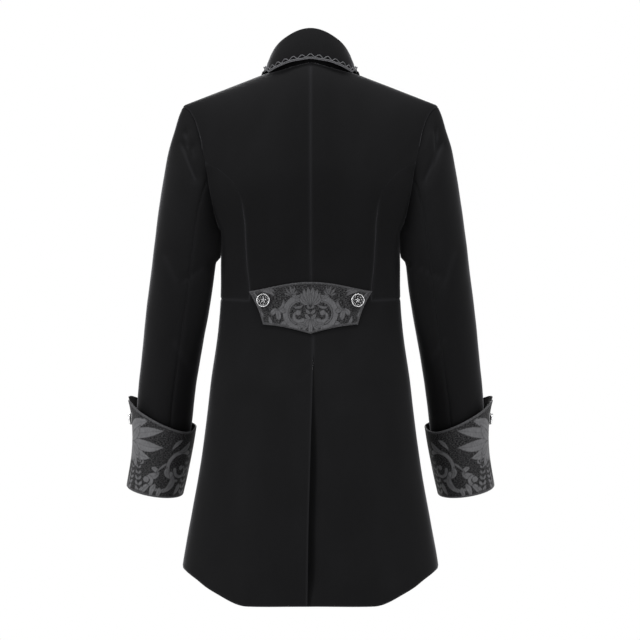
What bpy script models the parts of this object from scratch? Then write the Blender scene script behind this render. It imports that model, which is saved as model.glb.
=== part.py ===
"""A velvet tailcoat with brocade cuffs and half belt, filled out as worn, with no wearer.

Metres, +Z up. The wearer faces -Y and their left is +X. The origin is the middle of the neck
opening: z = 0 at the nape seam, y = 0 over the shoulder ridge. Every cloth piece is a grid laid
on one shared coat surface, then given its thickness inward, so that neighbours meet at a seam.
"""

import math

import bmesh
import bpy
from mathutils import Vector

WALL = 0.0022
SEAM_GAP = 0.0003
SEAM_INSET = 0.5 * SEAM_GAP
SMOOTH_ANGLE = 40

# The torso below the waist seam, as level sections from the waist to the lowest hem
SECTION_POWER = 2.4
SKIRT_COLUMNS = ("height", "half_width", "back_depth", "front_depth")
SKIRT = (
    (-0.380, 0.1525, 0.0760, 0.1050),
    (-0.413, 0.1535, 0.0775, 0.1080),
    (-0.454, 0.1570, 0.0840, 0.1120),
    (-0.482, 0.1605, 0.0910, 0.1150),
    (-0.536, 0.1685, 0.1060, 0.1190),
    (-0.590, 0.1745, 0.1160, 0.1220),
    (-0.645, 0.1810, 0.1240, 0.1250),
    (-0.699, 0.1885, 0.1310, 0.1280),
    (-0.753, 0.1980, 0.1370, 0.1310),
    (-0.808, 0.2080, 0.1430, 0.1340),
    (-0.849, 0.2150, 0.1470, 0.1360),
    (-0.921, 0.2260, 0.1520, 0.1400),
)
WAIST_Z = SKIRT[0][0]
WAIST_BACK = SKIRT[0][2]
WAIST_FRONT = SKIRT[0][3]
FOLD_DEPTH = 0.020
FOLD_COUNT = 6
FOLD_START = 0.070
FOLD_RUN = 0.400

# The bodice rises from the waist seam to the shoulder ridge: rise 0 is the waist, 1 the ridge
BODICE_COLUMNS = ("rise", "half_width")
BODICE = (
    (0.000, 0.1525),
    (0.120, 0.1526),
    (0.186, 0.1524),
    (0.250, 0.1535),
    (0.316, 0.1564),
    (0.424, 0.1715),
    (0.561, 0.1876),
    (0.722, 0.1975),
    (0.803, 0.2029),
    (0.898, 0.2117),
    (0.965, 0.2230),
    (1.000, 0.2357),
)
RIDGE_TOP = 0.0060
RIDGE_SLOPE = 0.39
RIDGE_ROUND = 0.015
RIDGE_HALF = BODICE[-1][1]
BLADE_SWELL = 0.52
BLADE_RISE = 0.55
CHEST_SWELL = 0.10
CHEST_RISE = 0.50
NAPE_POWER = 4.6
SHOULDER_POWER = 2.6
SHOULDER_FROM = 0.45
FRONT_POWER = 2.5
NECK_HALF = 0.075
NECK_DIP = 0.0155
DIP_ROUND = 0.8
DIP_FADE = 6

# The hem's height by the angle from centre back, in degrees: it sweeps up to the front waist
HEM_COLUMNS = ("angle", "height")
HEM = (
    (0, -0.921),
    (24, -0.921),
    (30, -0.917),
    (41, -0.903),
    (51, -0.890),
    (60, -0.876),
    (72, -0.8625),
    (90, -0.849),
    (105, -0.815),
    (120, -0.745),
    (135, -0.650),
    (150, -0.545),
    (162, -0.468),
    (172, -0.425),
    (180, -0.415),
    (190, -0.414),
)

# Armhole: how far it cuts in from the side, by rise
ARMHOLE_BOTTOM = 0.316
ARMHOLE_CUT = 0.080
ARMHOLE_FRONT_MORE = 0.018
ARMHOLE_ROUND = 0.5
ARMHOLE_RISES = (0.316, 0.328, 0.365, 0.43, 0.51, 0.60, 0.69, 0.78, 0.86, 0.925, 0.968, 0.991, 1.0)
WAIST_SEAM = 0.045
LOW_RISES = (-WAIST_SEAM, 0.0, 0.06, 0.12, 0.18, 0.24, 0.29)
BODICE_RISES = LOW_RISES + ARMHOLE_RISES
SKIRT_DROPS = (WAIST_SEAM, 0.085, 0.13, 0.19, 0.257, 0.33, 0.42, 0.51, 0.60, 0.69, 0.78, 0.87, 0.94, 1.0)
VENT_ROW = 4
NECK_LANES = (0.0, 0.31, 0.64, 1.0)
SHOULDER_LANES = (0.23, 0.46, 0.72, 1.0)
FRONT_LANES = (0.0, 0.018, 0.0375, 0.052)
FRONT_SPLITS = 6
BACK_SIDE_LANES = 4
VENT_LANES = 3
TIP_RISE = 0.69

# The seam from the armhole to the waist seam, as a share of the half width
PRINCESS_COLUMNS = ("rise", "share")
PRINCESS = (
    (0.00, 0.685),
    (0.12, 0.712),
    (0.22, 0.722),
    (0.316, 0.716),
    (0.43, 0.676),
    (0.51, 0.690),
    (0.60, 0.775),
    (0.69, 0.920),
)

# Centre back seam and vent, and the buttoned front: x of the edge by height
CENTRE_COLUMNS = ("height", "edge_x")
CENTRE_BACK = (
    (-0.930, 0.0057),
    (-0.780, 0.0034),
    (-0.640, -0.0006),
    (-0.519, -0.0040),
    (-0.450, -0.0036),
    (-0.380, -0.0010),
    (-0.300, 0.0),
    (0.020, 0.0),
)
VENT_TOP = -0.519
VENT_UNDERLAP = 0.034
LAP_SINK = 0.0031
SINK_RUN = 0.013
LAP_MARGIN = 0.004
VENT_EASE = 0.031
FRONT_LAP = 0.018
CENTRE_ANGLE = 0.3
NECKLINE_BREAK = 0.38
NECKLINE_CROSS = 0.50

# Sleeve: the outer and inner line seen from behind, the forward hang and the half depth
SLEEVE_COLUMNS = ("outer_x", "outer_z", "inner_x", "inner_z", "centre_y", "half_depth", "back_drop")
SLEEVE = (
    (0.2168, -0.0733, 0.1564, -0.2830, 0.000, 0.0520, 0.0),
    (0.2235, -0.0900, 0.1582, -0.2865, 0.000, 0.0550, 0.0),
    (0.2304, -0.1140, 0.1582, -0.2910, 0.000, 0.0580, 0.0),
    (0.2405, -0.1480, 0.1582, -0.2980, 0.000, 0.0610, 0.0),
    (0.2495, -0.1960, 0.1582, -0.3080, -0.001, 0.0630, 0.0),
    (0.2576, -0.2500, 0.1585, -0.3220, -0.002, 0.0640, 0.0),
    (0.2645, -0.3020, 0.1615, -0.3450, -0.003, 0.0630, 0.0),
    (0.2705, -0.3520, 0.1655, -0.3800, -0.006, 0.0620, 2.0),
    (0.2775, -0.4060, 0.1725, -0.4250, -0.012, 0.0600, 5.0),
    (0.2825, -0.4500, 0.1805, -0.4670, -0.019, 0.0580, 8.0),
    (0.2870, -0.4980, 0.1890, -0.5140, -0.029, 0.0560, 11.0),
    (0.2925, -0.5480, 0.1965, -0.5630, -0.041, 0.0530, 13.0),
    (0.2975, -0.6100, 0.2035, -0.6240, -0.056, 0.0510, 14.0),
    (0.3025, -0.6680, 0.2115, -0.6820, -0.071, 0.0490, 14.0),
    (0.3112, -0.7205, 0.2203, -0.7335, -0.085, 0.0480, 14.0),
)
SLEEVE_LAST = len(SLEEVE) - 1
HEAD_STATIONS = 5
HEAD_FADE = 1.5
SLEEVE_STEP = 0.25
BACK_SEAM = 5
FRONT_SEAM = 3

# Cuff: turned up over the sleeve's end, slit at the outer side
CUFF_WALL = 0.0026
CUFF_CLEAR = 0.0032
CUFF_FLARE = 0.0055
CUFF_TIP_FLARE = 0.0150
CUFF_TIP_POWER = 5
CUFF_TIP_ANGLE = 75.0
CUFF_FLARE_ANGLE = 60.0
CUFF_COLUMNS = ("angle", "depth")
CUFF = (
    (0, 0.150),
    (20, 0.149),
    (45, 0.142),
    (90, 0.130),
    (135, 0.121),
    (180, 0.124),
)
CUFF_STEP = 0.058
CUFF_ROWS = 6
CUFF_SPLITS = 26
SLIT_ANGLE = 0.6
SLIT_OPEN_ANGLE = 9.0
SLIT_OPEN_FROM = 0.72

# Collar: stations run from centre back (0) over the shoulder (0.4) to the neckline's foot (1)
SHOULDER_STATION = 0.4
STAND_COLUMNS = ("station", "height", "lean")
STAND = (
    (-0.10, 0.0542, 0.0050),
    (0.00, 0.0550, 0.0060),
    (0.10, 0.0542, 0.0050),
    (0.20, 0.0455, 0.0040),
    (0.30, 0.0310, 0.0060),
    (0.40, 0.0210, 0.0080),
    (0.50, 0.0120, 0.0060),
    (0.60, 0.0060, 0.0030),
    (0.70, 0.0000, 0.0000),
    (1.00, 0.0000, 0.0000),
)
STAND_END = 0.65
STAND_LIFT = 0.0022
STAND_SPLITS = 26
STAND_ROWS = 3
STATION_STEP = 0.01
NECK_MIDDLE_Y = -0.02
FALL_COLUMNS = ("station", "edge_x", "edge_y", "edge_z")
FALL = (
    (-0.1, -0.031, 0.0715, 0.0010),
    (0.0, 0.000, 0.0755, 0.0046),
    (0.1, 0.031, 0.0715, 0.0010),
    (0.2, 0.0565, 0.0585, -0.0085),
    (0.3, 0.0702, 0.0340, -0.0160),
    (0.4, 0.0738, 0.0040, -0.0140),
    (0.5, 0.0845, -0.034, -0.0340),
    (0.6, 0.0985, -0.058, -0.0620),
    (0.7, 0.1090, -0.080, -0.0950),
    (0.8, 0.1080, -0.096, -0.1280),
    (0.9, 0.0750, -0.108, -0.1600),
    (1.0, 0.0100, -0.111, -0.1830),
)
FALL_LAY = 0.0042
LIFT_NEAR = 0.030
LAID_FROM = 0.45
FALL_SPLITS = 40
ROLL_PROFILE = ((-0.0012, 0.0026), (0.0020, 0.0024), (0.0046, -0.0004))
ROLL_FOOT = (0.0056, 0.0042)
FALL_RUN = 5
LAPEL_START = 0.40
LAPEL_FULL = 0.65
LAPEL_LIFT = 0.004
FALL_BELLY = 0.006

# Braid along the fall's edge
BRAID_THICK = 0.0012
BRAID_LIFT = 0.0012
BRAID_END = 0.03
BRAID_MARGIN = 0.0012
BRAID_BAND = 0.0026
BRAID_SCALLOP = 0.0026
BRAID_PITCH = 0.0150
BRAID_STEPS = 4
BRAID_ROWS = 4

# Half belt: its top and bottom edges by the share of its half width
BELT_HALF_TOP = 0.1040
BELT_HALF_FOOT = 0.0800
BELT_LIFT = 0.0008
BELT_THICK = 0.0025
BELT_SPLITS = 14
BELT_ROWS = 5
BELT_CORNER_Z = -0.3885
BELT_CROWN = 0.0159
BELT_CROWN_POWER = 1.3
BELT_FOOT_Z = -0.4457
BELT_POINT = 0.0155
BELT_POINT_POWER = 1.6
BELT_WAIST_IN = 0.0030

# Buttons: a domed face in a raised rim, turned
BUTTON_STEPS = 16
BUTTON_PROFILE = ((0.0, 1.0), (0.45, 0.86), (0.66, 0.56), (0.78, 0.80), (0.92, 0.72), (1.0, 0.30))
BUTTON_BACK = 0.94
BUTTON_HIGH = 0.0046
BELT_BUTTON = 0.02350
CUFF_BUTTON = 0.0200
FRONT_BUTTON = 0.0200
BUTTON_SEAT = 0.0004
CUFF_BUTTON_SEAT = 0.0012
BELT_BUTTON_X = 0.0791
BELT_BUTTON_Z = -0.4041
CUFF_BUTTON_DOWN = 0.031
FRONT_BUTTON_HEIGHTS = (-0.2450, -0.3050, -0.3650)

# Plain finishes: name, linear colour, roughness and metallic
VELVET = ("black_velvet", (0.012, 0.012, 0.013), 0.85, 0.0)
BROCADE = ("grey_brocade", (0.055, 0.056, 0.06), 0.6, 0.0)
GIMP = ("grey_gimp", (0.08, 0.08, 0.085), 0.7, 0.0)
PEWTER = ("dark_pewter", (0.25, 0.25, 0.26), 0.35, 1.0)

STEP = 1e-4
LEFT = 1
RIGHT = -1
SIDES = ((LEFT, "left"), (RIGHT, "right"))


def ramp(low, high, value):
    share = min(max((value - low) / (high - low), 0.0), 1.0)
    return share * share * (3 - 2 * share)


def read(rows, value, column=1):
    """The column's value at this key, smoothly between the table's rows."""
    keys = [row[0] for row in rows]
    sign = 1 if keys[-1] > keys[0] else -1
    place = sign * value
    last = len(rows) - 2
    index = next((i for i in range(last + 1) if place <= sign * keys[i + 1]), last)
    width = keys[index + 1] - keys[index]
    share = min(max((value - keys[index]) / width, 0.0), 1.0)

    def slope(at):
        before = max(at - 1, 0)
        after = min(at + 1, len(rows) - 1)
        return (rows[after][column] - rows[before][column]) / (keys[after] - keys[before])

    start = rows[index][column]
    end = rows[index + 1][column]
    square = share * share
    cube = square * share
    return (
        (2 * cube - 3 * square + 1) * start
        + (cube - 2 * square + share) * width * slope(index)
        + (3 * square - 2 * cube) * end
        + (cube - square) * width * slope(index + 1)
    )


def section(angle):
    """Shares of the half width and of the depth at an angle from centre back."""
    across = math.copysign(abs(math.sin(angle)) ** (2 / SECTION_POWER), math.sin(angle))
    deep = math.copysign(abs(math.cos(angle)) ** (2 / SECTION_POWER), math.cos(angle))
    return across, deep


def back_angle(share):
    share = min(max(share, -1.0), 1.0)
    return math.copysign(math.asin(abs(share) ** (SECTION_POWER / 2)), share)


def front_angle(share):
    return math.pi - back_angle(share)


def arch(rise, power):
    return max(1 - rise**power, 0.0) ** (1 / power)


def hem_height(angle):
    return read(HEM, math.degrees(abs(angle)))


def ridge_height(x):
    return RIDGE_TOP - RIDGE_SLOPE * (math.hypot(x, RIDGE_ROUND) - RIDGE_ROUND)


def bodice_depth(across, rise, is_back):
    if is_back:
        power = NAPE_POWER + (SHOULDER_POWER - NAPE_POWER) * ramp(0.0, SHOULDER_FROM, abs(across))
        return WAIST_BACK * arch(rise, power) * (1 + BLADE_SWELL * ramp(0, BLADE_RISE, rise))
    return WAIST_FRONT * arch(rise, FRONT_POWER) * (1 + CHEST_SWELL * ramp(0, CHEST_RISE, rise))


def coat(angle, level):
    """A point of the coat's outer surface: level 0 to 1 is the bodice's rise, 0 to -1 the skirt."""
    across, deep = section(angle)
    is_back = deep >= 0
    if level >= 0:
        rise = min(level, 1.0)
        height = WAIST_Z + (ridge_height(across * RIDGE_HALF) - WAIST_Z) * rise
        half = read(BODICE, rise)
        return Vector((across * half, deep * bodice_depth(across, rise, is_back), height))
    height = WAIST_Z - level * (hem_height(angle) - WAIST_Z)
    half = read(SKIRT, height)
    depth = read(SKIRT, height, 2 if is_back else 3)
    fold = 1 + FOLD_DEPTH * ramp(FOLD_START, FOLD_RUN, WAIST_Z - height) * math.sin(FOLD_COUNT * angle)
    return Vector((across * half * fold, deep * depth * fold, height))


def outward(angle, level):
    """The coat surface's outward unit normal."""
    high = min(level + STEP, 1.0)
    beside = min(level, 1.0 - STEP)
    up = coat(angle, high) - coat(angle, high - 2 * STEP)
    round_ = coat(angle + STEP, beside) - coat(angle - STEP, beside)
    return up.cross(round_).normalized()


def armhole_angle(rise, is_back):
    climb = (rise - ARMHOLE_BOTTOM) / (1 - ARMHOLE_BOTTOM)
    turn = math.sin(0.5 * math.pi * min(max(climb, 0.0) / ARMHOLE_ROUND, 1.0)) ** (SECTION_POWER / 2)
    cut = ARMHOLE_CUT + (0 if is_back else ARMHOLE_FRONT_MORE * (1 - climb))
    share = 1 - cut * turn
    return back_angle(share) if is_back else front_angle(share)


def on_torso(x, z, is_back):
    """Angle and level of the bodice or skirt point with this x and z."""
    if z < WAIST_Z:
        half = read(SKIRT, z)
        angle = back_angle(x / half) if is_back else front_angle(x / half)
        for _ in range(6):
            level = -min((z - WAIST_Z) / (hem_height(angle) - WAIST_Z), 1.0)
            share = x / (coat(angle, level).x / section(angle)[0]) if abs(x) > 1e-6 else 0.0
            angle = back_angle(share) if is_back else front_angle(share)
        return angle, level
    share = x / read(BODICE, 0.5)
    for _ in range(8):
        rise = (z - WAIST_Z) / (ridge_height(share * RIDGE_HALF) - WAIST_Z)
        rise = min(max(rise, 0.0), 1.0)
        share = min(max(x / read(BODICE, rise), -1.0), 1.0)
    return (back_angle(share) if is_back else front_angle(share)), rise


def mirrored(vector, side):
    return Vector((side * vector.x, vector.y, vector.z))


def material(name, colour, roughness, metallic):
    made = bpy.data.materials.get(name)
    if made:
        return made
    made = bpy.data.materials.new(name)
    made.use_nodes = True
    shader = made.node_tree.nodes["Principled BSDF"]
    shader.inputs["Base Color"].default_value = (*colour, 1.0)
    shader.inputs["Roughness"].default_value = roughness
    shader.inputs["Metallic"].default_value = metallic
    return made


def add_object(name, mesh, finish, parts):
    mesh.materials.append(material(*finish))
    mesh.shade_smooth()
    mesh.set_sharp_from_angle(angle=math.radians(SMOOTH_ANGLE))
    made = bpy.data.objects.new(name, mesh)
    parts.objects.link(made)
    return made


def add_wall(name, columns, rows, place, finish, parts, thickness=WALL, kept=None):
    """A cloth piece: place(i, j) gives each grid point and the direction out of the cloth."""
    bm = bmesh.new()
    number = bm.verts.layers.int.new("number")
    bmesh.ops.create_grid(bm, x_segments=columns, y_segments=rows, size=0.5)
    cell = {}
    for vert in bm.verts:
        cell[vert] = (round((vert.co.x + 0.5) * columns), round((vert.co.y + 0.5) * rows))
    if kept:
        dropped = []
        for face in bm.faces:
            i = min(cell[vert][0] for vert in face.verts)
            j = min(cell[vert][1] for vert in face.verts)
            if not kept(i, j):
                dropped.append(face)
        bmesh.ops.delete(bm, geom=dropped, context="FACES")
    outs = []
    for vert in bm.verts:
        point, out = place(*cell[vert])
        vert.co = point
        vert[number] = len(outs)
        outs.append(out)
    inset_border(bm)
    grown = bmesh.ops.extrude_face_region(bm, geom=list(bm.faces))
    for vert in grown["geom"]:
        if isinstance(vert, bmesh.types.BMVert):
            vert.co -= outs[vert[number]] * thickness
    bmesh.ops.recalc_face_normals(bm, faces=bm.faces)
    mesh = bpy.data.meshes.new(name)
    bm.to_mesh(mesh)
    bm.free()
    return add_object(name, mesh, finish, parts)


def inset_border(bm):
    """Draws every open edge in by half the seam gap, along the cloth."""
    bm.normal_update()
    pulls = {}
    for edge in bm.edges:
        if len(edge.link_faces) != 1:
            continue
        face = edge.link_faces[0]
        along = (edge.verts[1].co - edge.verts[0].co).normalized()
        pull = face.normal.cross(along)
        middle = (edge.verts[0].co + edge.verts[1].co) / 2
        if pull.dot(face.calc_center_median() - middle) < 0:
            pull.negate()
        for vert in edge.verts:
            pulls.setdefault(vert, []).append(pull.normalized())
    for vert, found in pulls.items():
        total = sum(found, Vector())
        if len(found) == 2:
            total /= max(1 + found[0].dot(found[1]), 0.5)
        vert.co += total * SEAM_INSET


def share_between(first, last, share):
    return first + (last - first) * share


def princess_angle(rise):
    if rise >= TIP_RISE:
        return armhole_angle(rise, True)
    return back_angle(read(PRINCESS, rise))


def edge_angle(x, level):
    """The angle at which the coat surface at this level passes x, near centre back."""
    half = coat(CENTRE_ANGLE, level).x / section(CENTRE_ANGLE)[0]
    return back_angle(x / half)


def add_back(side, label, parts):
    neck_share = back_angle(NECK_HALF / RIDGE_HALF) / armhole_angle(1.0, True)
    shares = [neck_share * lane for lane in NECK_LANES]
    shares += [share_between(neck_share, 1.0, lane) for lane in SHOULDER_LANES]
    inner = len(shares) - 1
    lap = VENT_LANES if side == RIGHT else 0
    skirt_rows = len(SKIRT_DROPS) - 1
    bodice_rows = len(BODICE_RISES) - 1
    columns = lap + inner + BACK_SIDE_LANES

    def level_of(j):
        if j <= skirt_rows:
            return -SKIRT_DROPS[skirt_rows - j]
        return BODICE_RISES[j - skirt_rows]

    def place(i, j):
        level = level_of(j)
        height = coat(0.0, level).z
        edge_x = side * read(CENTRE_BACK, height)
        edge = edge_angle(edge_x, level)
        seam = princess_angle(max(level, 0.0))
        across = i - lap
        if across < 0:
            angle = edge_angle(edge_x + VENT_UNDERLAP * across / lap, level)
        elif across <= inner:
            angle = share_between(edge, seam, shares[across])
        else:
            angle = share_between(seam, 0.5 * math.pi, (across - inner) / BACK_SIDE_LANES)
        if level > 0:
            share = section(angle)[0] * RIDGE_HALF / NECK_HALF
            dip = NECK_DIP * max(1 - share * share, 0.0) ** DIP_ROUND
            level = level * (1 - dip * level**DIP_FADE)
        point = coat(angle, level)
        out = outward(angle, level)
        if side == RIGHT:
            sunk = ramp(VENT_TOP + VENT_EASE, VENT_TOP, point.z)
            left_edge = -read(CENTRE_BACK, point.z)
            sunk *= ramp(left_edge + SINK_RUN, left_edge, point.x)
            point = point - out * LAP_SINK * sunk
        return mirrored(point, side), mirrored(out, side)

    def kept(i, j):
        if i < lap:
            return j < skirt_rows - VENT_ROW
        return i < lap + inner or j < skirt_rows

    add_wall(f"back_{label}", columns, skirt_rows + bodice_rows, place, VELVET, parts, kept=kept)


def add_side_body(side, label, parts):
    """A four-sided patch: waist seam, back seam, side seam, and the armhole between them."""
    tip = ARMHOLE_RISES.index(TIP_RISE)
    left = [(princess_angle(rise), rise) for rise in BODICE_RISES if rise <= TIP_RISE]
    rows = len(left) - 1
    top = [(armhole_angle(rise, True), rise) for rise in reversed(ARMHOLE_RISES[: tip + 1])]
    columns = len(top) - 1
    foot = left[0]
    foot_corner = (0.5 * math.pi, foot[1])
    corner = (0.5 * math.pi, ARMHOLE_BOTTOM)

    def place(i, j):
        u = i / columns
        v = (left[j][1] - foot[1]) / (TIP_RISE - foot[1])
        found = []
        for axis in (0, 1):
            right = share_between(foot_corner[axis], corner[axis], v)
            bottom = share_between(foot[axis], foot_corner[axis], u)
            edges = (1 - u) * left[j][axis] + u * right + (1 - v) * bottom + v * top[i][axis]
            corners = (
                (1 - u) * (1 - v) * foot[axis]
                + u * (1 - v) * foot_corner[axis]
                + (1 - u) * v * left[-1][axis]
                + u * v * corner[axis]
            )
            found.append(edges - corners)
        return mirrored(coat(*found), side), mirrored(outward(*found), side)

    add_wall(f"side_body_{label}", columns, rows, place, VELVET, parts)


def neckline_x(rise):
    """The front edge's x on the left front: the buttoned lap, then the V up to the shoulder."""
    climb = max((rise - NECKLINE_BREAK) / (1 - NECKLINE_BREAK), 0.0)
    return -FRONT_LAP + (NECK_HALF + FRONT_LAP) * climb


def front_sink(point, side):
    """The right front passes under the left front's lap."""
    if side == LEFT:
        return 0.0
    return LAP_SINK * ramp(FRONT_LAP + LAP_MARGIN + SINK_RUN, FRONT_LAP + LAP_MARGIN, point.x)


def front_column(i, edge_x, half, outer):
    """The angle of a front's column: narrow lanes at the lap, then even steps to the side."""
    last = len(FRONT_LANES) - 1
    lane = front_angle((edge_x + FRONT_LANES[min(i, last)]) / half)
    return lane if i <= last else share_between(lane, outer, (i - last) / FRONT_SPLITS)


def add_front(side, label, parts):
    columns = len(FRONT_LANES) - 1 + FRONT_SPLITS
    rows = len(BODICE_RISES) - 1

    def place(i, j):
        rise = BODICE_RISES[j]
        half = read(BODICE, rise)
        outer = 0.5 * math.pi if rise < ARMHOLE_BOTTOM else armhole_angle(rise, False)
        angle = front_column(i, neckline_x(rise), half, outer)
        out = outward(angle, rise)
        point = coat(angle, rise)
        point = point - out * front_sink(point, side)
        return mirrored(point, side), mirrored(out, side)

    add_wall(f"front_{label}", columns, rows, place, VELVET, parts)


def add_front_skirt(side, label, parts):
    columns = len(FRONT_LANES) - 1 + FRONT_SPLITS
    rows = len(SKIRT_DROPS) - 1

    def place(i, j):
        level = -SKIRT_DROPS[rows - j]
        angle = front_column(i, -FRONT_LAP, SKIRT[0][1], 0.5 * math.pi)
        out = outward(angle, level)
        point = coat(angle, level)
        point = point - out * front_sink(point, side)
        return mirrored(point, side), mirrored(out, side)

    add_wall(f"front_skirt_{label}", columns, rows, place, VELVET, parts)


def armhole_ring():
    """The armhole, from the shoulder tip down the back, under the arm and up the front."""
    back = [(armhole_angle(rise, True), rise) for rise in reversed(ARMHOLE_RISES)]
    front = [(armhole_angle(rise, False), rise) for rise in ARMHOLE_RISES[1:-1]]
    ring = back + front
    points = [coat(*spot) for spot in ring]
    outs = [outward(*spot) for spot in ring]
    middle = sum(points, Vector()) / len(points)
    beyond = []
    for index, point in enumerate(points):
        along = points[(index + 1) % len(points)] - points[index - 1]
        across = along.cross(outs[index]).normalized()
        if across.dot(middle - point) < 0:
            across.negate()
        beyond.append(across)
    return points, outs, beyond


def ring_turns(points):
    """Each armhole point's angle round the sleeve, by its share of the way round each half."""
    half = len(ARMHOLE_RISES) - 1
    turns = []
    for start, stop in ((0, half), (half, 2 * half)):
        spans = [0.0]
        for index in range(start, stop):
            spans.append(spans[-1] + (points[(index + 1) % len(points)] - points[index]).length)
        turns += [math.pi * (start // half + span / spans[-1]) for span in spans[:-1]]
    return turns


def sleeve_row(station, column):
    rows = [(index, *row) for index, row in enumerate(SLEEVE)]
    return read(rows, station, column + 1)


def sleeve_tube(station, turn, grown=0.0):
    """A point on the sleeve's own tube: turn 0 is the outer side, a quarter turn the back."""
    outer = Vector((sleeve_row(station, 0), 0.0, sleeve_row(station, 1)))
    inner = Vector((sleeve_row(station, 2), 0.0, sleeve_row(station, 3)))
    drop = math.radians(sleeve_row(station, 6))
    centre = (outer + inner) / 2 + Vector((0.0, sleeve_row(station, 4), 0.0))
    across = outer - inner
    half = across.length / 2 + grown
    across.normalize()
    back = Vector((0.0, math.cos(drop), -math.sin(drop)))
    depth = sleeve_row(station, 5) + grown
    return centre + across * half * math.cos(turn) + back * depth * math.sin(turn)


class Sleeve:
    """The sleeve's surface for one arm, joined to the armhole at its head."""

    def __init__(self):
        self.points, self.outs, self.beyond = armhole_ring()
        self.turns = ring_turns(self.points)
        self.count = len(self.points)

    def point(self, column, station):
        index = column % self.count
        turn = self.turns[index]
        tube = sleeve_tube(station, turn)
        if station >= HEAD_STATIONS:
            return tube
        start = self.points[index] + (self.beyond[index] + self.outs[index]) * SEAM_GAP
        fade = (1 - station / HEAD_STATIONS) ** HEAD_FADE
        return tube + (start - sleeve_tube(0, turn)) * fade

    def out(self, column, station):
        before = max(station - SLEEVE_STEP, 0.0)
        after = min(station + SLEEVE_STEP, float(SLEEVE_LAST))
        down = self.point(column, after) - self.point(column, before)
        round_ = self.point(column + 1, station) - self.point(column - 1, station)
        normal = round_.cross(down).normalized()
        turn = self.turns[column % self.count]
        centre = (sleeve_tube(station, turn) + sleeve_tube(station, turn + math.pi)) / 2
        if normal.dot(self.point(column, station) - centre) < 0:
            normal.negate()
        if station == 0:
            index = column % self.count
            into = -normal
            into -= self.beyond[index] * min(into.dot(self.beyond[index]), 0.0)
            normal = -into.normalized()
        return normal


def add_sleeve(side, label, sleeve, parts):
    half = len(ARMHOLE_RISES) - 1
    spans = (
        ("top_sleeve", -half + FRONT_SEAM, len(ARMHOLE_RISES) - 1 - BACK_SEAM),
        ("under_sleeve", half - BACK_SEAM, half + FRONT_SEAM),
    )
    for name, first, last in spans:

        def place(i, j, first=first):
            column = first + i
            station = SLEEVE_LAST - j
            return (
                mirrored(sleeve.point(column, station), side),
                mirrored(sleeve.out(column, station), side),
            )

        add_wall(f"{name}_{label}", last - first, SLEEVE_LAST, place, VELVET, parts)


def cuff_point(turn, share):
    """A point on the cuff's outer face: share 0 is the folded bottom edge, 1 the free top edge."""
    degrees = math.degrees(turn) % 360
    fold = degrees if degrees <= 180 else 360 - degrees
    depth = read(CUFF, fold)
    station = SLEEVE_LAST - depth * share / CUFF_STEP
    flare = CUFF_FLARE * share * ramp(0.0, CUFF_FLARE_ANGLE, fold)
    tip = CUFF_TIP_FLARE * ramp(CUFF_TIP_ANGLE, 0.0, fold) * share**CUFF_TIP_POWER
    return sleeve_tube(station, turn, CUFF_CLEAR + flare + tip)


def cuff_out(turn, share):
    high = min(share + STEP, 1.0)
    round_ = cuff_point(turn + STEP, share) - cuff_point(turn - STEP, share)
    up = cuff_point(turn, high) - cuff_point(turn, high - 2 * STEP)
    normal = round_.cross(up).normalized()
    centre = (cuff_point(turn, share) + cuff_point(turn + math.pi, share)) / 2
    return -normal if normal.dot(cuff_point(turn, share) - centre) < 0 else normal


def add_cuff(side, label, parts):
    def place(i, j):
        share = j / CUFF_ROWS
        slit = SLIT_ANGLE + SLIT_OPEN_ANGLE * ramp(SLIT_OPEN_FROM, 1.0, share)
        turn = math.radians(share_between(slit, 360 - slit, i / CUFF_SPLITS))
        return mirrored(cuff_point(turn, share), side), mirrored(cuff_out(turn, share), side)

    add_wall(f"cuff_{label}", CUFF_SPLITS, CUFF_ROWS, place, BROCADE, parts, CUFF_WALL)


def neck_spot(station):
    """Angle and level of the neck seam, and of the front's V edge, at a collar station."""
    if station <= SHOULDER_STATION:
        share = NECK_HALF / RIDGE_HALF * math.sin(0.5 * math.pi * station / SHOULDER_STATION)
        inside = max(1 - (share * RIDGE_HALF / NECK_HALF) ** 2, 0.0)
        return back_angle(share), 1 - NECK_DIP * inside**DIP_ROUND
    climb = (station - SHOULDER_STATION) / (1 - SHOULDER_STATION)
    rise = 1 - (1 - NECKLINE_CROSS) * climb * climb
    return front_angle(neckline_x(rise) / read(BODICE, rise)), rise


def lapel_share(station):
    return ramp(LAPEL_START, LAPEL_FULL, station)


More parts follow.
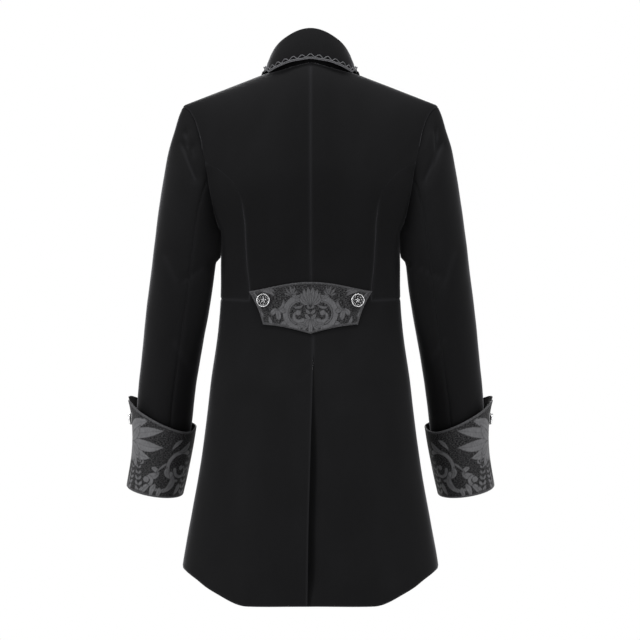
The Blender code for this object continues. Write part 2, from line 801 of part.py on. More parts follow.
class Collar:
    """Points and directions of the stand and the fall at stations from -1 to 1."""

    def base(self, size):
        """The neck seam's point, the ways up, past the seam and inward, and the roll line's point."""
        neck = coat(*neck_spot(size))
        body_out = outward(*neck_spot(size))
        up = Vector((0.0, 0.0, 1.0)).lerp(body_out, lapel_share(size)).normalized()
        after = coat(*neck_spot(min(size + STATION_STEP, 1.0)))
        along = after - coat(*neck_spot(max(size - STATION_STEP, 0.0)))
        if size < STATION_STEP:
            along = Vector((1.0, 0.0, 0.0))
        beyond = along.cross(body_out).normalized()
        if beyond.dot(Vector((0.0, NECK_MIDDLE_Y, neck.z)) - neck) < 0:
            beyond.negate()
        into = (beyond - up * beyond.dot(up)).normalized()
        foot = neck + beyond * STAND_LIFT
        roll = foot + up * read(STAND, size) + into * read(STAND, size, 2)
        return foot, up, into, roll

    def frame(self, size):
        """The roll line's point, the way up square to it, the way out, and the fall's edge."""
        _, up, _, roll = self.base(size)
        after = self.base(min(size + STATION_STEP, 1.0))[3]
        along = after - self.base(max(size - STATION_STEP, 0.0))[3]
        if size < STATION_STEP:
            along = Vector((1.0, 0.0, 0.0))
        along.normalize()
        up = (up - along * up.dot(along)).normalized()
        edge = self.edge(size)
        out = along.cross(up)
        if out.dot(edge - roll) < 0:
            out.negate()
        return roll, up, out, edge

    def edge(self, size):
        edge = Vector(read(FALL, size, column) for column in (1, 2, 3))
        if size >= LAID_FROM:
            spot = on_torso(edge.x, edge.z, False)
            edge = coat(*spot) + outward(*spot) * FALL_LAY
        return edge

    def stand(self, station, share):
        side = LEFT if station >= 0 else RIGHT
        foot, _, into, roll = self.base(abs(station))
        return mirrored(foot.lerp(roll, share), side), mirrored(-into, side)

    def fall(self, station, row):
        side = LEFT if station >= 0 else RIGHT
        roll, up, out, edge = self.frame(abs(station))
        if row < len(ROLL_PROFILE):
            across, high = ROLL_PROFILE[row]
            point = roll + out * across + up * high
        else:
            lapel = lapel_share(abs(station))
            foot = roll + out * ROLL_FOOT[0] - up * ROLL_FOOT[1] * (1 - lapel)
            middle = (foot + edge) / 2 + out * FALL_BELLY * (1 - lapel) + up * LAPEL_LIFT * lapel
            share = (row - len(ROLL_PROFILE)) / FALL_RUN
            near = foot.lerp(middle, share)
            far = middle.lerp(edge, share)
            point = near.lerp(far, share)
        if row >= len(ROLL_PROFILE) or abs(station) > STAND_END:
            point = self.lifted(point)
        return mirrored(point, side)

    def lifted(self, point):
        """Moves a point out until the fall's wall clears the coat under it."""
        for _ in range(2):
            spot = on_torso(point.x, point.z, point.y > 0)
            out = outward(*spot)
            gap = point - coat(*spot)
            height = gap.dot(out)
            over_coat = spot[1] < 1.0 or gap.length < LIFT_NEAR
            if height < FALL_LAY and over_coat:
                point = point + out * (FALL_LAY - height)
        return point


def fall_grid(collar):
    """The fall's points and outward directions, station by station."""
    rows = len(ROLL_PROFILE) + FALL_RUN
    stations = [-1 + 2 * index / FALL_SPLITS for index in range(FALL_SPLITS + 1)]
    points = [[collar.fall(station, row) for row in range(rows + 1)] for station in stations]
    outs = []
    for i, column in enumerate(points):
        line = []
        for row in range(rows + 1):
            round_ = points[min(i + 1, FALL_SPLITS)][row] - points[max(i - 1, 0)][row]
            across = column[min(row + 1, rows)] - column[max(row - 1, 0)]
            line.append(round_.cross(across).normalized())
        outs.append(line)
    return points, outs


def add_collar(parts):
    collar = Collar()

    def stand_place(i, j):
        station = STAND_END * (-1 + 2 * i / STAND_SPLITS)
        return collar.stand(station, j / STAND_ROWS)

    add_wall("collar_stand", STAND_SPLITS, STAND_ROWS, stand_place, VELVET, parts)
    points, outs = fall_grid(collar)
    rows = len(points[0]) - 1

    def fall_place(i, j):
        return points[i][j], outs[i][j]

    add_wall("collar_fall", FALL_SPLITS, rows, fall_place, VELVET, parts)
    add_braid(points, outs, parts)


def add_braid(points, outs, parts):
    """A flat braid near the fall's edge, with one scalloped side."""
    edge = [column[-1] for column in points]
    lengths = [0.0]
    for first, last in zip(edge, edge[1:]):
        lengths.append(lengths[-1] + (last - first).length)
    scallops = round(lengths[-1] / BRAID_PITCH)
    columns = scallops * BRAID_STEPS

    def spot(i, reach):
        """The fall's point this far in from its edge, and the way out there."""
        run = lengths[-1] * share_between(BRAID_END, 1 - BRAID_END, i / columns)
        index = next(k for k in range(len(lengths) - 1) if run <= lengths[k + 1])
        share = (run - lengths[index]) / (lengths[index + 1] - lengths[index])
        for row in range(-1, -BRAID_ROWS, -1):
            near = points[index][row].lerp(points[index + 1][row], share)
            far = points[index][row - 1].lerp(points[index + 1][row - 1], share)
            length = (far - near).length
            if reach <= length:
                break
            reach -= length
        part = reach / length
        first = outs[index][row].lerp(outs[index][row - 1], part)
        second = outs[index + 1][row].lerp(outs[index + 1][row - 1], part)
        return near.lerp(far, part), first.lerp(second, share).normalized()

    def place(i, j):
        swing = abs(math.sin(math.pi * i / BRAID_STEPS))
        width = BRAID_BAND + BRAID_SCALLOP * swing
        point, out = spot(i, BRAID_MARGIN + width * j)
        return point + out * (BRAID_LIFT + BRAID_THICK), out

    add_wall("collar_braid", columns, 1, place, GIMP, parts, BRAID_THICK)


def back_lifted(x, z, lift):
    spot = on_torso(x, z, True)
    out = outward(*spot)
    return coat(*spot) + out * lift, out


def add_belt(parts):
    """The half belt: pointed at the middle of its foot, arched at its top, narrower at its foot."""

    def place(i, j):
        across = -1 + 2 * i / BELT_SPLITS
        share = j / BELT_ROWS
        top = BELT_CORNER_Z + BELT_CROWN * math.cos(0.5 * math.pi * across) ** BELT_CROWN_POWER
        foot = BELT_FOOT_Z - BELT_POINT * max(1 - abs(across), 0.0) ** BELT_POINT_POWER
        half = share_between(BELT_HALF_FOOT, BELT_HALF_TOP, share)
        half -= BELT_WAIST_IN * math.sin(math.pi * share)
        return back_lifted(half * across, share_between(foot, top, share), BELT_LIFT + BELT_THICK)

    add_wall("half_belt", BELT_SPLITS, BELT_ROWS, place, BROCADE, parts, BELT_THICK)


def add_button(name, middle, out, across, parts, seat=BUTTON_SEAT):
    """A turned button: the profile runs from the dome's crown over the rim to the flat back."""
    radius = across / 2
    mesh = bpy.data.meshes.new(name)
    bm = bmesh.new()
    profile = [(radius * share, BUTTON_HIGH * high) for share, high in BUTTON_PROFILE]
    profile += [(radius * BUTTON_BACK, 0.0), (0.0, 0.0)]
    verts = [bm.verts.new((x, 0.0, z)) for x, z in profile]
    edges = [bm.edges.new(pair) for pair in zip(verts, verts[1:])]
    bmesh.ops.spin(
        bm,
        geom=verts + edges,
        cent=(0, 0, 0),
        axis=(0, 0, 1),
        angle=2 * math.pi,
        steps=BUTTON_STEPS,
        use_merge=True,
    )
    bmesh.ops.remove_doubles(bm, verts=bm.verts, dist=1e-6)
    bmesh.ops.recalc_face_normals(bm, faces=bm.faces)
    bm.to_mesh(mesh)
    bm.free()
    made = add_object(name, mesh, PEWTER, parts)
    made.location = middle + out * seat
    made.rotation_euler = out.to_track_quat("Z", "Y").to_euler()
    return made


def add_buttons(parts):
    for side, label in SIDES:
        middle, out = back_lifted(BELT_BUTTON_X, BELT_BUTTON_Z, BELT_LIFT + BELT_THICK)
        name = f"belt_button_{label}"
        add_button(name, mirrored(middle, side), mirrored(out, side), BELT_BUTTON, parts)
        share = 1 - CUFF_BUTTON_DOWN / CUFF[0][1]
        middle = cuff_point(0.0, share)
        out = cuff_out(0.0, share)
        name = f"cuff_button_{label}"
        spot = (mirrored(middle, side), mirrored(out, side))
        add_button(name, *spot, CUFF_BUTTON, parts, CUFF_BUTTON_SEAT)
    for index, height in enumerate(FRONT_BUTTON_HEIGHTS, 1):
        spot = on_torso(0.0, height, False)
        out = outward(*spot)
        add_button(f"front_button_{index}", coat(*spot), out, FRONT_BUTTON, parts)


def main():
    for old in list(bpy.data.objects):
        bpy.data.objects.remove(old)
    parts = bpy.data.collections.new("tailcoat")
    bpy.context.scene.collection.children.link(parts)
    sleeve = Sleeve()
    for side, label in SIDES:
        add_back(side, label, parts)
        add_side_body(side, label, parts)
        add_front(side, label, parts)
        add_front_skirt(side, label, parts)
        add_sleeve(side, label, sleeve, parts)
        add_cuff(side, label, parts)
    add_collar(parts)
    add_belt(parts)
    add_buttons(parts)


main()
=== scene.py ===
"""The looks of a velvet tailcoat with brocade cuffs and half belt, worn with no wearer.

Metres, +Z up. The wearer faces -Y and their left is +X. Each cloth piece is a thin shell on the
same surface as its solid, with its seams rolled in and its creases placed one by one.
"""

import math

import bpy
import numpy as np
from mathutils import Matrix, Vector
from mathutils.kdtree import KDTree


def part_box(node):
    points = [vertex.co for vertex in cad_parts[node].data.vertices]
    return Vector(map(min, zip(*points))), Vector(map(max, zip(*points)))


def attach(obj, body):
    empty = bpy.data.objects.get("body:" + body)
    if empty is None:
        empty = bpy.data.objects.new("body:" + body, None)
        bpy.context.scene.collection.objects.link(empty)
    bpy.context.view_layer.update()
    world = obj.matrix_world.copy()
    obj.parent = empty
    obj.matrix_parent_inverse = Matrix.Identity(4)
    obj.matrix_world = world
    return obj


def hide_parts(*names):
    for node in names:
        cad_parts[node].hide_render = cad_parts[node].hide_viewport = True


bl_info = {
    "name": "Velvet tailcoat",
    "version": (1, 0, 0),
    "blender": (4, 5, 0),
    "location": "View3D > Sidebar > Tailcoat",
    "description": "Velvet, brocade, braid and buttons of a tailcoat over its packed frame",
    "category": "Object",
}

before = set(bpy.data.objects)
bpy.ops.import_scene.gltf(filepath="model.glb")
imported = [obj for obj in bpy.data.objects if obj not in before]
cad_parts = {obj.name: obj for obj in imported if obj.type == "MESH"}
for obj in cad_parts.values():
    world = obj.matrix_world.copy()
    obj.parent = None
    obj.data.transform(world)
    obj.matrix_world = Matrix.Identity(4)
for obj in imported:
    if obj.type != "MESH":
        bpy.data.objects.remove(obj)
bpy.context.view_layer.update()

# The torso below the waist seam, as level sections from the waist to the lowest hem
SECTION_POWER = 2.4
# Columns: height, half width, back depth, front depth
SKIRT = (
    (-0.380, 0.1525, 0.0760, 0.1050),
    (-0.413, 0.1535, 0.0775, 0.1080),
    (-0.454, 0.1570, 0.0840, 0.1120),
    (-0.482, 0.1605, 0.0910, 0.1150),
    (-0.536, 0.1685, 0.1060, 0.1190),
    (-0.590, 0.1745, 0.1160, 0.1220),
    (-0.645, 0.1810, 0.1240, 0.1250),
    (-0.699, 0.1885, 0.1310, 0.1280),
    (-0.753, 0.1980, 0.1370, 0.1310),
    (-0.808, 0.2080, 0.1430, 0.1340),
    (-0.849, 0.2150, 0.1470, 0.1360),
    (-0.921, 0.2260, 0.1520, 0.1400),
)
WAIST_Z = SKIRT[0][0]
WAIST_BACK = SKIRT[0][2]
WAIST_FRONT = SKIRT[0][3]
FOLD_DEPTH = 0.020
FOLD_COUNT = 6
FOLD_START = 0.070
FOLD_RUN = 0.400

# The bodice rises from the waist seam to the shoulder ridge: rise 0 is the waist, 1 the ridge
# Columns: rise, half width
BODICE = (
    (0.000, 0.1525),
    (0.120, 0.1526),
    (0.186, 0.1524),
    (0.250, 0.1535),
    (0.316, 0.1564),
    (0.424, 0.1715),
    (0.561, 0.1876),
    (0.722, 0.1975),
    (0.803, 0.2029),
    (0.898, 0.2117),
    (0.965, 0.2230),
    (1.000, 0.2357),
)
RIDGE_TOP = 0.0060
RIDGE_SLOPE = 0.39
RIDGE_ROUND = 0.015
RIDGE_HALF = BODICE[-1][1]
BLADE_SWELL = 0.52
BLADE_RISE = 0.55
CHEST_SWELL = 0.10
CHEST_RISE = 0.50
NAPE_POWER = 4.6
SHOULDER_POWER = 2.6
SHOULDER_FROM = 0.45
FRONT_POWER = 2.5
NECK_HALF = 0.075
NECK_DIP = 0.0155
DIP_ROUND = 0.8
DIP_FADE = 6

# The hem's height by the angle from centre back, in degrees: it sweeps up to the front waist
# Columns: angle, height
HEM = (
    (0, -0.921),
    (24, -0.921),
    (30, -0.917),
    (41, -0.903),
    (51, -0.890),
    (60, -0.876),
    (72, -0.8625),
    (90, -0.849),
    (105, -0.815),
    (120, -0.745),
    (135, -0.650),
    (150, -0.545),
    (162, -0.468),
    (172, -0.425),
    (180, -0.415),
    (190, -0.414),
)

# Armhole: how far it cuts in from the side, by rise
ARMHOLE_BOTTOM = 0.316
ARMHOLE_CUT = 0.080
ARMHOLE_FRONT_MORE = 0.018
ARMHOLE_ROUND = 0.5
ARMHOLE_RISES = (0.316, 0.328, 0.365, 0.43, 0.51, 0.60, 0.69, 0.78, 0.86, 0.925, 0.968, 0.991, 1.0)
WAIST_SEAM = 0.045
TIP_RISE = 0.69

# The seam from the armhole to the waist seam, as a share of the half width
# Columns: rise, share
PRINCESS = (
    (0.00, 0.685),
    (0.12, 0.712),
    (0.22, 0.722),
    (0.316, 0.716),
    (0.43, 0.676),
    (0.51, 0.690),
    (0.60, 0.775),
    (0.69, 0.920),
)

# Centre back seam and vent, and the buttoned front: x of the edge by height
# Columns: height, edge x
CENTRE_BACK = (
    (-0.930, 0.0057),
    (-0.780, 0.0034),
    (-0.640, -0.0006),
    (-0.519, -0.0040),
    (-0.450, -0.0036),
    (-0.380, -0.0010),
    (-0.300, 0.0),
    (0.020, 0.0),
)
VENT_TOP = -0.519
VENT_UNDERLAP = 0.034
LAP_SINK = 0.0031
SINK_RUN = 0.013
LAP_MARGIN = 0.004
VENT_EASE = 0.031
FRONT_LAP = 0.018
CENTRE_ANGLE = 0.3
NECKLINE_BREAK = 0.38
NECKLINE_CROSS = 0.50

# Sleeve: the outer and inner line seen from behind, the forward hang and the half depth
# Columns: outer x, outer z, inner x, inner z, centre y, half depth, back drop
SLEEVE = (
    (0.2168, -0.0733, 0.1564, -0.2830, 0.000, 0.0520, 0.0),
    (0.2235, -0.0900, 0.1582, -0.2865, 0.000, 0.0550, 0.0),
    (0.2304, -0.1140, 0.1582, -0.2910, 0.000, 0.0580, 0.0),
    (0.2405, -0.1480, 0.1582, -0.2980, 0.000, 0.0610, 0.0),
    (0.2495, -0.1960, 0.1582, -0.3080, -0.001, 0.0630, 0.0),
    (0.2576, -0.2500, 0.1585, -0.3220, -0.002, 0.0640, 0.0),
    (0.2645, -0.3020, 0.1615, -0.3450, -0.003, 0.0630, 0.0),
    (0.2705, -0.3520, 0.1655, -0.3800, -0.006, 0.0620, 2.0),
    (0.2775, -0.4060, 0.1725, -0.4250, -0.012, 0.0600, 5.0),
    (0.2825, -0.4500, 0.1805, -0.4670, -0.019, 0.0580, 8.0),
    (0.2870, -0.4980, 0.1890, -0.5140, -0.029, 0.0560, 11.0),
    (0.2925, -0.5480, 0.1965, -0.5630, -0.041, 0.0530, 13.0),
    (0.2975, -0.6100, 0.2035, -0.6240, -0.056, 0.0510, 14.0),
    (0.3025, -0.6680, 0.2115, -0.6820, -0.071, 0.0490, 14.0),
    (0.3112, -0.7205, 0.2203, -0.7335, -0.085, 0.0480, 14.0),
)
SLEEVE_LAST = len(SLEEVE) - 1
HEAD_STATIONS = 5
HEAD_FADE = 1.5
BACK_SEAM = 5
FRONT_SEAM = 3

# Cuff: turned up over the sleeve's end, slit at the outer side
CUFF_CLEAR = 0.0032
CUFF_FLARE = 0.0055
CUFF_TIP_FLARE = 0.0150
CUFF_TIP_POWER = 5
CUFF_TIP_ANGLE = 75.0
CUFF_FLARE_ANGLE = 60.0
# Columns: angle, depth
CUFF = (
    (0, 0.150),
    (20, 0.149),
    (45, 0.142),
    (90, 0.130),
    (135, 0.121),
    (180, 0.124),
)
CUFF_STEP = 0.058
SLIT_ANGLE = 0.6
SLIT_OPEN_ANGLE = 9.0
SLIT_OPEN_FROM = 0.72

# Collar: stations run from centre back (0) over the shoulder (0.4) to the neckline's foot (1)
SHOULDER_STATION = 0.4
# Columns: station, height, lean
STAND = (
    (-0.10, 0.0542, 0.0050),
    (0.00, 0.0550, 0.0060),
    (0.10, 0.0542, 0.0050),
    (0.20, 0.0455, 0.0040),
    (0.30, 0.0310, 0.0060),
    (0.40, 0.0210, 0.0080),
    (0.50, 0.0120, 0.0060),
    (0.60, 0.0060, 0.0030),
    (0.70, 0.0000, 0.0000),
    (1.00, 0.0000, 0.0000),
)
STAND_END = 0.65
STAND_LIFT = 0.0022
STAND_SPLITS = 14
NECK_TURN = 0.0045
STATION_STEP = 0.01
NECK_MIDDLE_Y = -0.02
# Columns: station, edge x, edge y, edge z
FALL = (
    (-0.1, -0.031, 0.0715, 0.0010),
    (0.0, 0.000, 0.0755, 0.0046),
    (0.1, 0.031, 0.0715, 0.0010),
    (0.2, 0.0565, 0.0585, -0.0085),
    (0.3, 0.0702, 0.0340, -0.0160),
    (0.4, 0.0738, 0.0040, -0.0140),
    (0.5, 0.0845, -0.034, -0.0340),
    (0.6, 0.0985, -0.058, -0.0620),
    (0.7, 0.1090, -0.080, -0.0950),
    (0.8, 0.1080, -0.096, -0.1280),
    (0.9, 0.0750, -0.108, -0.1600),
    (1.0, 0.0100, -0.111, -0.1830),
)
FALL_LAY = 0.0042
LIFT_NEAR = 0.030
LAID_FROM = 0.45
FALL_SPLITS = 40
ROLL_PROFILE = ((-0.0012, 0.0026), (0.0020, 0.0024), (0.0046, -0.0004))
ROLL_FOOT = (0.0056, 0.0042)
FALL_RUN = 5
LAPEL_START = 0.40
LAPEL_FULL = 0.65
LAPEL_LIFT = 0.004
FALL_BELLY = 0.006

# Braid along the fall's edge: twisted strands laid side by side, the last one in scallops
BRAID_END = 0.03
BRAID_PITCH = 0.0150
BRAID_CUT = 0.0009
BRAID_WAVE_POWER = 1.4
BRAID_SPLITS = 1500
STRAND_SIDES = 5
STRAND_TWIST = 0.0034
STRAND_APART = 0.42
STRAND_THICK = 0.6
# Columns: distance in from the edge, depth of its scallops, radius, lift
BRAID_STRANDS = (
    (0.0001, 0.0, 0.00095, 0.0004),
    (0.0020, 0.0, 0.00085, 0.0009),
    (0.0028, 0.0048, 0.00075, 0.0010),
)

# Half belt: its top and bottom edges by the share of its half width
BELT_HALF_TOP = 0.1040
BELT_HALF_FOOT = 0.0800
BELT_LIFT = 0.0008
BELT_THICK = 0.0025
BELT_CORNER_Z = -0.3885
BELT_CROWN = 0.0159
BELT_CROWN_POWER = 1.3
BELT_FOOT_Z = -0.4457
BELT_POINT = 0.0155
BELT_POINT_POWER = 1.6
BELT_WAIST_IN = 0.0030
BELT_MIDDLE_Z = -0.417
# The belt's motif colour is kept at this share: painted shade against the stronger light that falls on the
# belt
BELT_PAINTED_SHADE = 0.72

# Buttons: their widths, and their cast parts as shares of the radius and of the height
BUTTON_HIGH = 0.0046
BUTTON_ACROSS = {"belt": 0.02350, "cuff": 0.0200, "front": 0.0200}
DISH = ((0.02, 0.30), (0.60, 0.24), (0.86, 0.30), (0.99, 0.34), (0.97, 0.02), (0.02, 0.0))
DISH_SIDES = 40
RIM_MIDDLE = (0.90, 0.52)
RIM_HALF = (0.075, 0.42)
RIM_SIDES = 48
RIM_POINTS = 11
# Columns: count, first turn, distance out, height of the middle, length, width, height,
# 1 where a bead turns with its place, and its own turn
BEADS = (
    (8, -0.17, 0.62, 0.50, 0.17, 0.055, 0.30, 1, -0.5),
    (8, 0.17, 0.62, 0.50, 0.17, 0.055, 0.30, 1, 0.5),
    (8, math.pi / 8, 0.74, 0.50, 0.065, 0.065, 0.26, 0, 0.0),
    (5, 0.3, 0.24, 0.50, 0.19, 0.11, 0.42, 1, 0.0),
    (1, 0.0, 0.0, 0.70, 0.12, 0.12, 0.40, 0, 0.0),
)
BEAD_CAP = 0.12
BEAD_RINGS = 6
BEAD_SIDES = 10

# How the cloth is meshed: close lanes at each edge, at these distances in from it
EDGE_LANES = np.array((0.0, 0.0011, 0.0024, 0.0042, 0.0072))
SAMPLES = 90
STEP = 1e-4
SETTLE_ROUNDS = 8
LEAST_SHARE = 1e-6
LEAST_HALF = 1e-3
TINY = 1e-12
FAR = 1e9
TURN = 2 * math.pi
LEFT = 1
RIGHT = -1
SIDES = ((LEFT, "left"), (RIGHT, "right"))
# A piece whose points lie further out than this is wrapped round an arm
ARM_OUT = 0.19
MIDDLE_DROP = 0.02

# The vent: the left side stands a little proud, and the right side is hollowed behind it
VENT_DROP = 0.257
VENT_PROUD = 0.0040
VENT_PROUD_RUN = 0.018
VENT_PROUD_LESS = 0.4
VENT_PROUD_FADE = (-0.84, -0.92)
VENT_WIDEST = -0.70
VENT_HOLLOW = 0.0060
VENT_HOLLOW_EDGE = 0.004
VENT_HOLLOW_RUN = 0.024
VENT_HOLLOW_FADE = (-0.925, -0.86)

# The sleeve's edge lies under the armhole's, deeper low down, where it is tucked under too
HEAD_TUCK = 0.0012
TUCK_DEEPER = 0.0016
TUCK_UNDER = 0.0030
TUCK_FROM = 0.80
TUCK_FULL = 0.66

# The fold under the armpit, between these heights, depths and widths, and the way it folds
ARMPIT_TOP = (-0.276, -0.287)
ARMPIT_FOOT = (-0.343, -0.331)
ARMPIT_FRONT = (-0.004, 0.018)
ARMPIT_BACK = (0.052, 0.026)
ARMPIT_OUT = (0.180, 0.163)
ARMPIT_FOLD = 0.0095
ARMPIT_WAY = (1.0, -0.25, 0.0)

# How much of a seam's painted sheen line shows on a sleeve, and how much painted sheen its creases get
SLEEVE_SEAM_SHOWS = 0.1
CREASE_SHEEN = 0.85
CREASE_SHEEN_WIDTH = 0.34
CREASE_SHEEN_DEPTH = 0.0050

# The back's long seams fade into the pile between these heights, outward of the centre seam
# and clear of the armhole
FADE_SHARE = 0.92
FADE_FOOT = (-0.265, -0.225)
FADE_TOP = (-0.075, -0.105)
FADE_ACROSS = (0.05, 0.07)
FADE_ARMHOLE = (0.003, 0.007)

# Uneven swells of the cloth. Columns: length of the waves, seed, share of the swell's height
VELVET_SWELLS = ((0.11, 3, 1.0), (0.045, 5, 0.5))
BROCADE_SWELLS = ((0.06, 11, 0.6),)
VELVET_SWELL_EDGE = 0.03
BROCADE_SWELL_EDGE = 0.02
WAVES = 6

# The brocade's turned edge, and in millimetres the soft border, veins and gaps of its motifs
EDGE_BAND = 0.0032
EDGE_BAND_OUT = 0.0038
EDGE_BAND_IN = 0.0028
# The edge band's share of the satin colour is a painted highlight along the turned edge
EDGE_BAND_SHINE = 0.45
EDGE_GROOVE = 0.0003
EDGE_GROOVE_WIDTH = 0.0007
EDGE_ROLL_WIDTH = 0.0010
MOTIF_MARGIN = 2
MOTIF_SOFT = 0.45
MOTIF_GAP = (0.1, 1.3)
VEIN_SHARE = 0.4
VEIN_WIDTH = 0.55

# The photo's frame: its side and the coat's zero in pixels, and a pixel's real size
PHOTO_SIDE = 640
PHOTO_CENTRE_X = 310.5
PHOTO_ORIGIN_Y = 62.8
PIXEL = 0.00170
CAMERA_FAR = 20.0
COAT_MIDDLE = (0.0, 0.0, -0.42)
FLOOR_Z = -1.45
FLOOR_RADIUS = 2.6
FLOOR_SIDES = 96

# Soft lights: place, width, height and power
# Columns: name, x, y, z, width, height, power
LIGHTS = (
    ("left_softbox", 2.6, 1.5, 0.5, 0.9, 1.8, 95.0),
    ("right_softbox", -2.6, 1.3, 0.3, 0.9, 1.8, 60.0),
    ("top_softbox", 0.0, 0.5, 2.1, 1.8, 0.9, 110.0),
    ("front_softbox", 0.6, -2.6, 1.0, 1.4, 1.4, 90.0),
)

# Creases pressed into the velvet: two ends by x and z, +1 on the back or -1 on the front,
# the depth, which is negative for a ridge, and the half width
# Columns: x0, z0, x1, z1, facing, depth, width
CREASES = (
    (0.213, -0.118, 0.208, -0.145, 1, 0.0049, 0.0050),
    (0.219, -0.141, 0.197, -0.196, 1, 0.0057, 0.0065),
    (0.198, -0.140, 0.199, -0.156, 1, 0.0038, 0.0045),
    (-0.214, -0.116, -0.216, -0.143, 1, 0.0051, 0.0050),
    (-0.223, -0.142, -0.195, -0.200, 1, 0.0057, 0.0070),
    (0.205, -0.128, 0.176, -0.176, 1, -0.0030, 0.0090),
    (-0.203, -0.126, -0.175, -0.172, 1, -0.0030, 0.0090),
    (0.172, -0.338, 0.157, -0.366, 1, 0.0033, 0.0060),
    (0.184, -0.352, 0.214, -0.372, 1, 0.0027, 0.0080),
    (-0.170, -0.330, -0.158, -0.362, 1, 0.0033, 0.0060),
    (-0.186, -0.350, -0.219, -0.366, 1, 0.0024, 0.0080),
    (0.248, -0.330, 0.228, -0.372, 1, 0.0018, 0.0110),
    (-0.246, -0.322, -0.226, -0.380, 1, 0.0018, 0.0110),
    (0.231, -0.475, 0.205, -0.520, 1, 0.0018, 0.0120),
    (-0.228, -0.470, -0.204, -0.505, 1, 0.0015, 0.0120),
    (0.206, -0.130, 0.196, -0.190, -1, 0.0039, 0.0070),
    (-0.208, -0.132, -0.198, -0.180, -1, 0.0036, 0.0070),
    (0.178, -0.345, 0.226, -0.372, -1, 0.0033, 0.0090),
    (0.182, -0.372, 0.240, -0.392, -1, 0.0027, 0.0080),
    (-0.176, -0.340, -0.230, -0.366, -1, 0.0033, 0.0090),
    (-0.180, -0.366, -0.236, -0.396, -1, 0.0027, 0.0080),
    (0.100, -0.392, 0.148, -0.372, 1, 0.0012, 0.0120),
    (-0.104, -0.394, -0.148, -0.376, 1, 0.0012, 0.0120),
    (0.146, -0.240, 0.118, -0.270, 1, 0.0014, 0.0140),
    (-0.144, -0.236, -0.120, -0.268, 1, 0.0014, 0.0140),
    (0.135, -0.300, 0.146, -0.350, 1, 0.0014, 0.0120),
    (-0.135, -0.304, -0.146, -0.352, 1, 0.0014, 0.0120),
    (0.004, -0.520, 0.020, -0.535, 1, 0.0014, 0.0040),
    (0.062, -0.560, 0.076, -0.860, 1, -0.0033, 0.0260),
    (-0.058, -0.600, -0.072, -0.880, 1, -0.0030, 0.0260),
    (0.118, -0.580, 0.140, -0.850, 1, 0.0030, 0.0240),
    (-0.116, -0.560, -0.142, -0.860, 1, 0.0030, 0.0240),
    (0.020, -0.335, 0.110, -0.330, -1, 0.0015, 0.0140),
    (-0.030, -0.325, -0.112, -0.340, -1, 0.0015, 0.0140),
    (0.012, -0.362, 0.060, -0.345, -1, 0.0018, 0.0080),
    (0.090, -0.440, 0.120, -0.600, -1, 0.0024, 0.0220),
    (-0.092, -0.430, -0.124, -0.580, -1, 0.0024, 0.0220),
)


def linear(text):
    """An sRGB hex colour as the linear colour that a shader takes."""
    shares = [int(text[i : i + 2], 16) / 255 for i in (1, 3, 5)]
    return [s / 12.92 if s <= 0.04045 else ((s + 0.055) / 1.055) ** 2.4 for s in shares]


# Sockets of a Mix node set to colours, which share their names with others
FACTOR, FIRST, SECOND, MIXED = 0, 6, 7, 2


def shade(colour, share=1.0):
    """A colour with its alpha, as it is or darker by a share."""
    return (*(share * part for part in colour), 1.0)


def per_metre(spacing, coarser=1):
    """A pattern's scale from the real spacing of its threads or grains in mm, drawn so much coarser."""
    return 1000 / (spacing * coarser)


def vec(x, y, z):
    """Points from their three coordinates, each a number or an array."""
    return np.stack(np.broadcast_arrays(x, y, z), axis=-1).astype(float)


def unit(v):
    return v / np.maximum(np.linalg.norm(v, axis=-1, keepdims=True), TINY)


def dot(a, b):
    return (a * b).sum(axis=-1, keepdims=True)


def ramp(low, high, value):
    """From 0 at low to 1 at high, with soft ends; low may be the greater."""
    share = np.clip((value - low) / (high - low), 0.0, 1.0)
    return share * share * (3 - 2 * share)


def cubic(share, first, into, second, out):
    """Between two values, leaving the first and meeting the second at these slopes."""
    square = share * share
    cube = square * share
    return (
        (2 * cube - 3 * square + 1) * first
        + (cube - 2 * square + share) * into
        + (3 * square - 2 * cube) * second
        + (cube - square) * out
    )


def table(rows, value, column=1):
    """The column's value at each key, smoothly between the table's rows."""
    keys = np.array([row[0] for row in rows], float)
    values = np.array([row[column] for row in rows], float)
    if keys[0] > keys[-1]:
        keys, values = keys[::-1], values[::-1]
    index = np.clip(np.searchsorted(keys, value, "right") - 1, 0, len(keys) - 2)
    after = np.minimum(np.arange(len(keys)) + 1, len(keys) - 1)
    before = np.maximum(np.arange(len(keys)) - 1, 0)
    slope = (values[after] - values[before]) / (keys[after] - keys[before])
    width = keys[index + 1] - keys[index]
    share = np.clip((value - keys[index]) / width, 0.0, 1.0)
    return cubic(share, values[index], width * slope[index], values[index + 1], width * slope[index + 1])


def between(read, place, last):
    """The value at a fractional place of a list of last + 1 values, which read gives by their index."""
    index = np.clip(np.floor(place).astype(int), 0, last - 1)
    first, second = read(index), read(index + 1)
    into = (second - read(np.maximum(index - 1, 0))) / 2
    out = (read(np.minimum(index + 2, last)) - first) / 2
    share = np.clip(place - index, 0.0, 1.0)
    return cubic(share.reshape(share.shape + (1,) * (first.ndim - 1)), first, into, second, out)


def smooth(values, places):
    """Points or numbers read at fractional places along their list, on one smooth curve."""
    values = np.asarray(values, float)
    return between(lambda index: values[index], places, len(values) - 1)


def run_along(points, axis=0):
    """How far each point lies along its line, from 0 at the line's start."""
    run = np.cumsum(np.linalg.norm(np.diff(points, axis=axis), axis=-1), axis=axis)
    return np.insert(run, 0, 0.0, axis=axis)


def new_object(name, data):
    """An object in the scene with this name and mesh, light or camera."""
    made = bpy.data.objects.new(name, data)
    bpy.context.scene.collection.objects.link(made)
    return made


def section(angle):
    """Shares of the half width and of the depth at an angle from centre back."""
    across = np.sign(np.sin(angle)) * np.abs(np.sin(angle)) ** (2 / SECTION_POWER)
    deep = np.sign(np.cos(angle)) * np.abs(np.cos(angle)) ** (2 / SECTION_POWER)
    return across, deep


